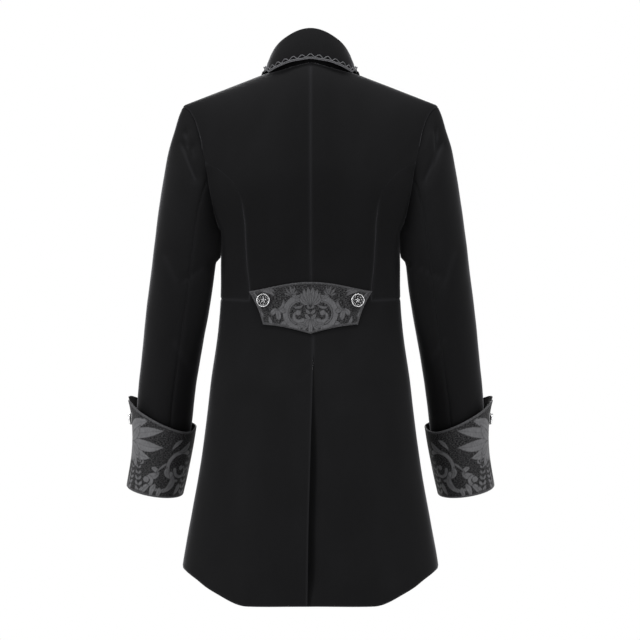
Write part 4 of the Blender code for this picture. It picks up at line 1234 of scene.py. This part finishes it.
def brocade_piece(name, surface, side, u_bounds, plane_of, rows, mirror_at, shine=1.0):
    """A brocade piece: the motif stands a little proud, and a turned edge runs all round. A shine below 1
    paints shade over its motif.
    """
    sizes = bpy.context.scene.tailcoat_sizes
    u, v, _, _ = grid_of(surface, u_bounds, (0, 1), sizes.brocade_step, sum(u_bounds) / 2)
    points = surface(u, v)
    outs = facing_out(points)
    plane = plane_of(points, u, v)
    kept = np.ones((points.shape[0] - 1, points.shape[1] - 1), bool)
    edge = border_distance(points, kept)
    band = ramp(EDGE_BAND_OUT, EDGE_BAND_IN, edge)
    # Painted highlight: the turned edge's band is paled toward the satin colour
    motif = woven(plane, rows, mirror_at) * (1 - band) + EDGE_BAND_SHINE * band
    groove = EDGE_GROOVE * np.exp(-(((edge - EDGE_BAND) / EDGE_GROOVE_WIDTH) ** 2))
    roll = sizes.seam_dip * np.exp(-((edge / EDGE_ROLL_WIDTH) ** 2))
    swell = swelled(points, BROCADE_SWELLS, edge, BROCADE_SWELL_EDGE)
    points = points + outs * (sizes.relief * motif - groove - roll + swell)[..., None]
    points, outs = points * (side, 1, 1), outs * (side, 1, 1)
    # A shine below 1 darkens the motif's colour as painted shade
    cloth(name, points, outs, "silk_brocade", "brocade", kept, plane, motif=shine * motif)


def belt_surface(across, up):
    """The belt's outer face on the coat's back: across -1 to 1, up from its pointed foot to its crown."""
    across, up = np.broadcast_arrays(across, up)
    top = BELT_CORNER_Z + BELT_CROWN * np.maximum(np.cos(0.5 * math.pi * across), 0) ** BELT_CROWN_POWER
    foot = BELT_FOOT_Z - BELT_POINT * np.maximum(1 - np.abs(across), 0.0) ** BELT_POINT_POWER
    half = BELT_HALF_FOOT + (BELT_HALF_TOP - BELT_HALF_FOOT) * up
    half = half - BELT_WAIST_IN * np.sin(math.pi * up)
    spot = on_torso(half * across, foot + (top - foot) * up, True)
    return coat(*spot) + outward(*spot) * (BELT_LIFT + BELT_THICK)


def tube_faces(rings, sides, start=0):
    """The faces of a tube of rings of points, closed at both ends."""
    number = start + np.arange(rings * sides).reshape(rings, sides)
    after = np.roll(number, -1, axis=1)
    walls = np.stack([number[:-1], after[:-1], after[1:], number[1:]], axis=-1).reshape(-1, 4)
    return walls.tolist() + [number[0][::-1].tolist(), number[-1].tolist()]


def round_about(angle, first, second):
    """Directions at an angle from the first to the second."""
    return np.cos(angle)[..., None] * first + np.sin(angle)[..., None] * second


def twisted(path, outs, radius):
    """Two strands twisted along a path, as points and faces."""
    along = unit(np.gradient(path, axis=0))
    beside = unit(np.cross(along, outs))
    up = np.cross(beside, along)
    turn = TURN * run_along(path) / STRAND_TWIST
    ring = np.linspace(0, TURN, STRAND_SIDES, endpoint=False)[None]
    points, faces = [], []
    for strand in (0, math.pi):
        middle = path + STRAND_APART * radius * round_about(turn + strand, beside, up)
        body = middle[:, None] + STRAND_THICK * radius * round_about(ring, beside[:, None], up[:, None])
        faces += tube_faces(len(path), STRAND_SIDES, STRAND_SIDES * len(points) * len(path))
        points.append(body.reshape(-1, 3))
    return np.concatenate(points), faces


def joined(name, pieces, finishes):
    """One object from several lists of points and faces, each with its own finish."""
    mesh = bpy.data.meshes.new(name)
    points, faces, picks = [], [], []
    for body, sides, pick in pieces:
        start = sum(len(p) for p in points)
        points.append(np.asarray(body))
        faces += [[start + index for index in face] for face in sides]
        picks += [pick] * len(sides)
    mesh.from_pydata(np.concatenate(points).tolist(), [], faces)
    mesh.polygons.foreach_set("material_index", picks)
    for finish in finishes:
        mesh.materials.append(material(finish))
    mesh.shade_smooth()
    made = new_object(name, mesh)
    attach(made, "root")
    return made


def lathe(profile, steps):
    """A turned body from its top to its foot, closed at the axis."""
    turn = np.linspace(0, TURN, steps, endpoint=False)
    radius, height = np.array(profile).T[..., None]
    body = vec(radius * np.cos(turn), radius * np.sin(turn), height + 0 * turn)
    # The profile runs down, so the walls are turned over, and the two small end faces are not
    *walls, top, foot = tube_faces(len(profile), steps)
    return body.reshape(-1, 3), [face[:1] + face[:0:-1] for face in walls] + [top, foot]


def bead(x, y, z, size, turn):
    """A cast bead: a stretched ball on the button's face."""
    slope = np.linspace(BEAD_CAP, math.pi - BEAD_CAP, BEAD_RINGS)
    body, faces = lathe(np.stack([np.sin(slope), np.cos(slope)], axis=-1), BEAD_SIDES)
    along, beside = (math.cos(turn), math.sin(turn), 0), (-math.sin(turn), math.cos(turn), 0)
    return body * size @ np.array((along, beside, (0, 0, 1))) + (x, y, z), faces


def button_pieces(radius):
    """A cast shank button: a dark dish, a bright rim, a ring of petals and a rosette."""
    size = np.array((radius, radius, BUTTON_HIGH))
    body, faces = lathe(DISH, DISH_SIDES)
    pieces = [(body * size, faces, 1)]
    slope = np.linspace(0, TURN, RIM_POINTS)
    rim = np.stack([np.cos(slope), np.sin(slope)], axis=-1) * RIM_HALF + RIM_MIDDLE
    body, faces = lathe(rim, RIM_SIDES)
    # The rim is a ring, so its two end faces are left out
    pieces.append((body * size, faces[:-2], 0))
    for count, first, out, lift, long, wide, high, follows, own_turn in BEADS:
        for index in range(count):
            turn = first + TURN * index / count
            x, y, z = size * (out * math.cos(turn), out * math.sin(turn), lift)
            pieces.append((*bead(x, y, z, size * (long, wide, high), follows * turn + own_turn), 0))
    return pieces


def node_facing(name, middle):
    """The way a button's solid faces: along its thinnest side, away from the wearer."""
    points = np.array([vert.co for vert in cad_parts[name].data.vertices])
    _, _, axes = np.linalg.svd(points - points.mean(0))
    out = Vector(axes[2])
    return -out if out.dot(Vector((middle[0], middle[1], 0.0))) < 0 else out


def add_button(name, across):
    """A cast button in the place of its solid, facing the same way."""
    low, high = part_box(name)
    middle = (low + high) / 2
    out = node_facing(name, middle)
    made = joined(name, button_pieces(across / 2), ("cast_pewter", "pewter_oxide"))
    made.location = middle - out * BUTTON_HIGH / 2
    made.rotation_euler = out.to_track_quat("Z", "Y").to_euler()
    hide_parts(name)


def feed(node, inputs):
    """Sets a node's inputs, each to a value or from the socket that feeds it."""
    for name, value in inputs.items():
        if isinstance(value, bpy.types.NodeSocket):
            node.id_data.links.new(value, node.inputs[name])
        else:
            node.inputs[name].default_value = value


def add(tree, kind, inputs, **settings):
    """Adds a node with its settings and links."""
    made = tree.nodes.new(kind)
    for name, value in settings.items():
        setattr(made, name, value)
    feed(made, inputs)
    return made


def new_material(name):
    """A material with its tree and its shader."""
    made = bpy.data.materials.new(name)
    made.use_nodes = True
    return made, made.node_tree, made.node_tree.nodes["Principled BSDF"]


def make_cotton_velvet(colours):
    """Black cotton velvet, woven with a cut pile: matte and deep face on, with a soft pale sheen
    where the pile turns away, faint patches where the nap has been brushed, and a painted sheen
    paled into its colour along seams and sleeve creases."""
    made, tree, shader = new_material("cotton_velvet")
    spot = add(tree, "ShaderNodeTexCoord", {}).outputs["Object"]
    # Brushed patches are about 45 mm across and longer up the cloth
    long = add(tree, "ShaderNodeMapping", {"Vector": spot, "Scale": (1.0, 1.0, 0.45)}).outputs[0]
    patches = {"Vector": long, "Scale": per_metre(45.5), "Detail": 3.0}
    nap = add(tree, "ShaderNodeTexNoise", patches).outputs[0]
    brushed = add(tree, "ShaderNodeMapRange", {"Value": nap, "From Min": 0.35, "From Max": 0.68}).outputs[0]
    hues = {FACTOR: brushed, FIRST: shade(colours.velvet, 0.78), SECOND: shade(colours.velvet)}
    base = add(tree, "ShaderNodeMix", hues, data_type="RGBA").outputs[MIXED]
    # The pile's tufts are 0.3 mm apart, drawn 4 times coarser so that they show
    fine = {"Vector": spot, "Scale": per_metre(0.305, 4), "Detail": 2.0}
    pile = add(tree, "ShaderNodeTexNoise", fine).outputs[0]
    span = {"Value": pile, "From Min": 0.3, "From Max": 0.7, "To Min": 0.75, "To Max": 1.2}
    tuft = add(tree, "ShaderNodeMapRange", span).outputs[0]
    base = add(tree, "ShaderNodeVectorMath", {0: base, 1: tuft}, operation="MULTIPLY").outputs[0]
    # Painted sheen: the colour is paled toward the seam colour along each seam, and along a sleeve's creases
    seam = add(tree, "ShaderNodeAttribute", {}, attribute_name="seam").outputs["Fac"]
    seam_sheen = add(tree, "ShaderNodeMath", {0: seam, 1: 0.34}, operation="MULTIPLY").outputs[0]
    hues = {FACTOR: seam_sheen, FIRST: base, SECOND: shade(colours.seam)}
    base = add(tree, "ShaderNodeMix", hues, data_type="RGBA").outputs[MIXED]
    bump = add(tree, "ShaderNodeBump", {"Height": pile, "Strength": 0.35, "Distance": 0.0006}).outputs[0]
    feed(shader, {"Base Color": base, "Normal": bump, "Roughness": 0.92})
    feed(shader, {"IOR": 1.45, "Specular IOR Level": 0.1})
    feed(shader, {"Sheen Weight": 0.42, "Sheen Roughness": 0.27, "Sheen Tint": shade(colours.sheen)})
    return made


def make_silk_brocade(colours):
    """Jacquard brocade, woven: a dark, speckled ribbed ground and smooth satin motifs that shine."""
    made, tree, shader = new_material("silk_brocade")
    cut = add(tree, "ShaderNodeUVMap", {}, uv_map="cut").outputs[0]
    motif = add(tree, "ShaderNodeAttribute", {}, attribute_name="motif").outputs["Fac"]
    # Ground threads are 0.4 mm apart, drawn 4 times coarser
    ribs = add(tree, "ShaderNodeMapping", {"Vector": cut, "Scale": (0.55, 1.3, 1.0)}).outputs[0]
    fine = {"Vector": ribs, "Scale": per_metre(0.403, 4), "Detail": 2.5}
    speck = add(tree, "ShaderNodeTexNoise", fine).outputs[0]
    dots = add(tree, "ShaderNodeMapRange", {"Value": speck, "From Min": 0.46, "From Max": 0.60}).outputs[0]
    hues = {FACTOR: dots, FIRST: shade(colours.ground), SECOND: shade(colours.speck)}
    ground = add(tree, "ShaderNodeMix", hues, data_type="RGBA").outputs[MIXED]
    # The satin's floats lie up the piece, 0.5 mm apart and drawn 4 times coarser
    floats = add(tree, "ShaderNodeMapping", {"Vector": cut, "Scale": (1.6, 0.25, 1.0)}).outputs[0]
    fine = {"Vector": floats, "Scale": per_metre(0.481, 4), "Detail": 1.5}
    satin = add(tree, "ShaderNodeTexNoise", fine).outputs[0]
    lines = add(tree, "ShaderNodeMapRange", {"Value": satin, "From Min": 0.3, "From Max": 0.7}).outputs[0]
    hues = {FACTOR: lines, FIRST: shade(colours.motif, 0.72), SECOND: shade(colours.motif)}
    figure = add(tree, "ShaderNodeMix", hues, data_type="RGBA").outputs[MIXED]
    # Its gloss is worn a little in patches of about 9 mm
    patches = {"Vector": cut, "Scale": per_metre(9.09), "Detail": 2.0}
    cloud = add(tree, "ShaderNodeTexNoise", patches).outputs[0]
    span = {"Value": cloud, "From Min": 0.3, "From Max": 0.7, "To Min": 0.72, "To Max": 1.0}
    worn = add(tree, "ShaderNodeMapRange", span).outputs[0]
    share = add(tree, "ShaderNodeMath", {0: motif, 1: worn}, operation="MULTIPLY").outputs[0]
    hues = {FACTOR: share, FIRST: ground, SECOND: figure}
    base = add(tree, "ShaderNodeMix", hues, data_type="RGBA").outputs[MIXED]
    rough = add(tree, "ShaderNodeMapRange", {"Value": motif, "To Min": 0.72, "To Max": 0.46}).outputs[0]
    height = add(tree, "ShaderNodeMath", {0: speck, 1: satin}, operation="ADD").outputs[0]
    bump = add(tree, "ShaderNodeBump", {"Height": height, "Strength": 0.45, "Distance": 0.0005}).outputs[0]
    feed(shader, {"Base Color": base, "Normal": bump, "Roughness": rough, "IOR": 1.5})
    feed(shader, {"Specular IOR Level": 0.08, "Sheen Weight": 0.02, "Sheen Roughness": 0.4})
    return made


def grained(name, hues, scale, detail, finish, bumps=None, roughs=None):
    """A material whose one grain gives its colours and, where told, its bump and its uneven gloss."""
    made, tree, shader = new_material(name)
    spot = add(tree, "ShaderNodeTexCoord", {}).outputs["Object"]
    grain = add(tree, "ShaderNodeTexNoise", {"Vector": spot, "Scale": scale, "Detail": detail}).outputs[0]
    mix = {FACTOR: grain, FIRST: hues[0], SECOND: hues[1]}
    feed(shader, {"Base Color": add(tree, "ShaderNodeMix", mix, data_type="RGBA").outputs[MIXED]})
    if bumps:
        bump = {"Height": grain, "Strength": bumps[0], "Distance": bumps[1]}
        feed(shader, {"Normal": add(tree, "ShaderNodeBump", bump).outputs[0]})
    if roughs:
        span = {"Value": grain, "To Min": roughs[0], "To Max": roughs[1]}
        feed(shader, {"Roughness": add(tree, "ShaderNodeMapRange", span).outputs[0]})
    feed(shader, finish)
    return made


def make_cotton_backing(colours):
    """The velvet's woven back, plain black cotton: dull, with a faint grid of threads."""
    # Threads 0.5 mm apart, drawn 3 times coarser
    hues = (shade(colours.velvet, 0.7), shade(colours.velvet))
    finish = {"Roughness": 0.85, "Specular IOR Level": 0.25}
    return grained("cotton_backing", hues, per_metre(0.513, 3), 1.0, finish, (0.25, 0.0004))


def make_rayon_gimp(colours):
    """Rayon gimp, twisted over a cotton core: a dull grey thread with a slight gleam on each turn."""
    # Wound threads 0.3 mm apart, drawn 3 times coarser
    hues = (shade(colours.gimp, 0.6), shade(colours.gimp))
    finish = {"Roughness": 0.72, "Specular IOR Level": 0.2, "Sheen Weight": 0.1}
    return grained("rayon_gimp", hues, per_metre(0.278, 3), 1.0, finish, (0.3, 0.0003))


def make_cast_pewter(colours):
    """Pewter, cast and rubbed bright: a soft grey metal with uneven gloss on its high places."""
    # The casting's grain is 0.4 mm, drawn 3 times coarser
    hues = (shade(colours.pewter, 0.7), shade(colours.pewter))
    bumps, roughs = (0.2, 0.0002), (0.22, 0.42)
    return grained("cast_pewter", hues, per_metre(0.37, 3), 3.0, {"Metallic": 1.0}, bumps, roughs)


def make_pewter_oxide(colours):
    """Pewter blackened in its recesses: dark, dull metal that makes the casting look pierced."""
    # Stains are about 1.4 mm across
    hues = (shade(colours.oxide, 0.5), shade(colours.oxide))
    return grained("pewter_oxide", hues, per_metre(1.43), 2.0, {"Metallic": 1.0, "Roughness": 0.62})


def make_matte_paper(_colours):
    """Pale backdrop paper, uncoated: flat and even, so that it only carries the coat's soft shade."""
    # Fibres lie about 3 mm apart
    hues = (shade(linear("#EDEDEC")), shade(linear("#F4F4F3")))
    return grained("matte_paper", hues, per_metre(3.33), 2.0, {"Roughness": 0.9})


MAKERS = {
    "cotton_velvet": make_cotton_velvet,
    "cotton_backing": make_cotton_backing,
    "silk_brocade": make_silk_brocade,
    "rayon_gimp": make_rayon_gimp,
    "cast_pewter": make_cast_pewter,
    "pewter_oxide": make_pewter_oxide,
    "matte_paper": make_matte_paper,
}


def material(name):
    """The material of this name, made when it is first asked for."""
    return bpy.data.materials.get(name) or MAKERS[name](bpy.context.scene.tailcoat_colours)


def length_property(name, text, value):
    """A size in metres that a user may change."""
    kind = {"unit": "LENGTH", "min": 0.0, "precision": 5}
    return bpy.props.FloatProperty(name=name, description=text, default=value, **kind)


def colour_property(name, text, value):
    """A colour from its hex text that a user may change."""
    kind = {"subtype": "COLOR", "min": 0.0, "max": 1.0}
    return bpy.props.FloatVectorProperty(name=name, description=text, default=linear(value), **kind)


class TailcoatSizes(bpy.types.PropertyGroup):
    """Sizes of the cloth that a user would change"""

    thickness: length_property("Cloth thickness", "Thickness of each shell of cloth", 0.0016)
    velvet_step: length_property("Velvet step", "Spacing of the velvet's mesh", 0.0062)
    brocade_step: length_property("Brocade step", "Spacing of the brocade's mesh", 0.00115)
    seam_dip: length_property("Seam dip", "How far the cloth rolls in at a seam", 0.0013)
    seam_width: length_property("Seam width", "How wide the roll at a seam is", 0.0024)
    swell: length_property("Swell", "Height of the cloth's soft uneven swells", 0.0007)
    relief: length_property("Motif relief", "How far the brocade's motif stands proud", 0.00022)


class TailcoatColours(bpy.types.PropertyGroup):
    """Colours of the cloth and the metal"""

    velvet: colour_property("Velvet", "Velvet seen face on", "#060607")
    # Seam is the colour of a painted sheen, paled into the velvet along seams and sleeve creases
    seam: colour_property("Seam", "Velvet's open pile at a seam", "#1E1E20")
    sheen: colour_property("Sheen", "Velvet's pile seen edge on", "#8C8C90")
    ground: colour_property("Brocade ground", "Brocade's dark ground threads", "#030304")
    speck: colour_property("Brocade specks", "Brocade's pale ground threads", "#2B2B2C")
    motif: colour_property("Brocade motif", "Brocade's satin motifs", "#4D4D4F")
    gimp: colour_property("Gimp", "Braid on the collar", "#4C4C4F")
    pewter: colour_property("Pewter", "Buttons' high places", "#B9B9BA")
    oxide: colour_property("Oxide", "Buttons' blackened recesses", "#3A3A3B")


class TAILCOAT_OT_backs(bpy.types.Operator):
    """Builds the centre back panels, with the vent, and the side bodies"""

    bl_idname = "tailcoat.backs"
    bl_label = "Backs"
    bl_options = {"REGISTER", "UNDO"}

    def execute(self, _context):
        for side, label in SIDES:
            lapped = side == RIGHT
            u_bounds = (-1, 0, 1, 2) if lapped else (0, 1, 2)
            v_bounds = (-1, -VENT_DROP, -WAIST_SEAM, 1) if lapped else (-1, -WAIST_SEAM, 1)

            def keep(kept, u_marks, v_marks, lapped=lapped):
                kept[v_marks[-2] :, u_marks[-2] :] = False
                if lapped:
                    kept[v_marks[1] :, : u_marks[1]] = False
                return kept

            shaped = vent_sink if lapped else vent_lift
            velvet_piece(f"back_{label}", back_surface(side), side, u_bounds, v_bounds, 0.5, keep, shaped)
            velvet_piece(f"side_body_{label}", side_body_surface, side, (0, 1), (0, 1), 0.3)
        return {"FINISHED"}


class TAILCOAT_OT_fronts(bpy.types.Operator):
    """Builds the fronts and the swept front skirts"""

    bl_idname = "tailcoat.fronts"
    bl_label = "Fronts"
    bl_options = {"REGISTER", "UNDO"}

    def execute(self, _context):
        for side, label in SIDES:
            sunk = lap_sink if side == RIGHT else None
            velvet_piece(f"front_{label}", front_surface, side, (0, 1), (-WAIST_SEAM, 1), 0.5, None, sunk)
            rows = (-1, -WAIST_SEAM)
            velvet_piece(f"front_skirt_{label}", front_skirt_surface, side, (0, 1), rows, 0.5, None, sunk)
        return {"FINISHED"}


class TAILCOAT_OT_sleeves(bpy.types.Operator):
    """Builds the two-piece sleeves"""

    bl_idname = "tailcoat.sleeves"
    bl_label = "Sleeves"
    bl_options = {"REGISTER", "UNDO"}

    def execute(self, _context):
        half = len(ARMHOLE_RISES) - 1
        top = (-half + FRONT_SEAM, half - BACK_SEAM)
        under = (half - BACK_SEAM, half + FRONT_SEAM)
        for side, label in SIDES:
            velvet_piece(f"top_sleeve_{label}", sleeve_surface, side, top, (0, 1), 0.0)
            velvet_piece(f"under_sleeve_{label}", sleeve_surface, side, under, (0, 1), half)
        return {"FINISHED"}


class TAILCOAT_OT_cuffs(bpy.types.Operator):
    """Builds the turned-back brocade cuffs"""

    bl_idname = "tailcoat.cuffs"
    bl_label = "Cuffs"
    bl_options = {"REGISTER", "UNDO"}

    def execute(self, _context):
        around = run_along(cuff_surface(np.linspace(0, 1, 200), 0.5))[-1]

        def plane_of(points, u, v):
            fold = np.minimum(360 * u, 360 - 360 * u)
            return np.stack([u * run_along(points[points.shape[0] // 2])[-1], v * table(CUFF, fold)], axis=-1)

        for side, label in SIDES:
            brocade_piece(f"cuff_{label}", cuff_surface, side, (0, 1), plane_of, CUFF_MOTIF, around / 2)
        return {"FINISHED"}


class TAILCOAT_OT_collar(bpy.types.Operator):
    """Builds the collar's stand and the fall that runs into the lapels"""

    bl_idname = "tailcoat.collar"
    bl_label = "Collar"
    bl_options = {"REGISTER", "UNDO"}

    def execute(self, _context):
        velvet_piece("collar_stand", cage_surface(stand_cage()), LEFT, (0, 1), (0, 1), 0.5)
        velvet_piece("collar_fall", cage_surface(fall_cage()), LEFT, (0, 1), (0, 1), 0.5)
        return {"FINISHED"}


class TAILCOAT_OT_braid(bpy.types.Operator):
    """Builds the scalloped gimp braid on the fall's edge"""

    bl_idname = "tailcoat.braid"
    bl_label = "Braid"
    bl_options = {"REGISTER", "UNDO"}

    def execute(self, _context):
        fall = cage_surface(fall_cage())
        share = np.linspace(0, 1, BRAID_SPLITS)
        edge = fall(share, 1.0)
        inward = unit(fall(share, 0.95) - edge)
        outs = unit(np.cross(np.gradient(edge, axis=0), inward))
        outs = np.where(dot(outs, edge - (0.0, NECK_MIDDLE_Y, -0.06)) < 0, -outs, outs)
        run = run_along(edge)
        total = run[-1] * (1 - 2 * BRAID_END)
        places = np.linspace(0, total, round(total / BRAID_CUT))
        scallops = round(total / BRAID_PITCH)
        wave = np.abs(np.sin(math.pi * scallops * places / total)) ** BRAID_WAVE_POWER

        def at_places(values):
            found = [np.interp(places + run[-1] * BRAID_END, run, part) for part in values.T]
            return np.stack(found, axis=-1)

        edge, inward, outs = at_places(edge), at_places(inward), unit(at_places(outs))
        pieces = []
        for near, scalloped, radius, lift in BRAID_STRANDS:
            line = edge + inward * (near + scalloped * wave)[:, None] + outs * lift
            pieces.append((*twisted(line, outs, radius), 0))
        made = joined("gimp_braid", pieces, ("rayon_gimp",))
        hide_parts("collar_braid")
        return {"FINISHED"}


class TAILCOAT_OT_belt(bpy.types.Operator):
    """Builds the brocade half belt"""

    bl_idname = "tailcoat.belt"
    bl_label = "Half belt"
    bl_options = {"REGISTER", "UNDO"}

    def execute(self, _context):
        def plane_of(points, _u, _v):
            return np.stack([points[..., 0], points[..., 2] - BELT_MIDDLE_Z], axis=-1)

        brocade_piece("half_belt", belt_surface, LEFT, (-1, 1), plane_of, BELT_MOTIF, 0, BELT_PAINTED_SHADE)
        return {"FINISHED"}


class TAILCOAT_OT_buttons(bpy.types.Operator):
    """Builds the cast pewter buttons"""

    bl_idname = "tailcoat.buttons"
    bl_label = "Buttons"
    bl_options = {"REGISTER", "UNDO"}

    def execute(self, _context):
        for name in sorted(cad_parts):
            if "button" in name:
                add_button(name, BUTTON_ACROSS[name.split("_")[0]])
        return {"FINISHED"}


class TAILCOAT_OT_stage(bpy.types.Operator):
    """Builds the pale floor, the soft lights and the camera at the photo's angle"""

    bl_idname = "tailcoat.stage"
    bl_label = "Stage"
    bl_options = {"REGISTER", "UNDO"}

    def execute(self, _context):
        bpy.ops.mesh.primitive_circle_add(vertices=FLOOR_SIDES, radius=FLOOR_RADIUS, fill_type="NGON")
        floor = bpy.context.active_object
        floor.name = "floor"
        floor.location = (0, 0, FLOOR_Z)
        floor.data.materials.append(material("matte_paper"))
        world = bpy.data.worlds.new("studio")
        bpy.context.scene.world = world
        world.use_nodes = True
        feed(world.node_tree.nodes["Background"], {"Color": (1.0, 1.0, 1.0, 1.0), "Strength": 1.0})
        for name, x, y, z, width, height, power in LIGHTS:
            data = bpy.data.lights.new(name, "AREA")
            data.shape = "RECTANGLE"
            data.size, data.size_y, data.energy = width, height, power
            light = new_object(name, data)
            light.location = (x, y, z)
            light.rotation_euler = (Vector(COAT_MIDDLE) - light.location).to_track_quat("-Z", "Y").to_euler()
        data = bpy.data.cameras.new("camera")
        data.lens = data.sensor_width * CAMERA_FAR / (PHOTO_SIDE * PIXEL)
        camera = new_object("camera", data)
        x = (PHOTO_CENTRE_X - PHOTO_SIDE / 2) * PIXEL
        z = (PHOTO_ORIGIN_Y - PHOTO_SIDE / 2) * PIXEL
        camera.location = (x, CAMERA_FAR, z)
        camera.rotation_euler = (math.pi / 2, 0, math.pi)
        bpy.context.scene.camera = camera
        bpy.context.scene.view_settings.view_transform = "Standard"
        return {"FINISHED"}


class TAILCOAT_PT_panel(bpy.types.Panel):
    """Lists the tailcoat's sizes, colours and pieces"""

    bl_idname = "TAILCOAT_PT_panel"
    bl_label = "Tailcoat"
    bl_space_type = "VIEW_3D"
    bl_region_type = "UI"
    bl_category = "Tailcoat"

    def draw(self, context):
        for group in (context.scene.tailcoat_sizes, context.scene.tailcoat_colours):
            box = self.layout.box()
            for name in group.__annotations__:
                box.prop(group, name)
        for operator in OPERATORS:
            self.layout.operator(operator.bl_idname)


OPERATORS = (
    TAILCOAT_OT_stage,
    TAILCOAT_OT_backs,
    TAILCOAT_OT_fronts,
    TAILCOAT_OT_sleeves,
    TAILCOAT_OT_cuffs,
    TAILCOAT_OT_collar,
    TAILCOAT_OT_braid,
    TAILCOAT_OT_belt,
    TAILCOAT_OT_buttons,
)
CLASSES = (TailcoatSizes, TailcoatColours, *OPERATORS, TAILCOAT_PT_panel)


def register():
    for made in CLASSES:
        bpy.utils.register_class(made)
    bpy.types.Scene.tailcoat_sizes = bpy.props.PointerProperty(type=TailcoatSizes)
    bpy.types.Scene.tailcoat_colours = bpy.props.PointerProperty(type=TailcoatColours)


def unregister():
    del bpy.types.Scene.tailcoat_colours
    del bpy.types.Scene.tailcoat_sizes
    for made in reversed(CLASSES):
        bpy.utils.unregister_class(made)


def main():
    """Registers the add-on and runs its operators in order."""
    register()
    for operator in OPERATORS:
        group, name = operator.bl_idname.split(".")
        getattr(getattr(bpy.ops, group), name)()


if __name__ == "__main__":
    main()
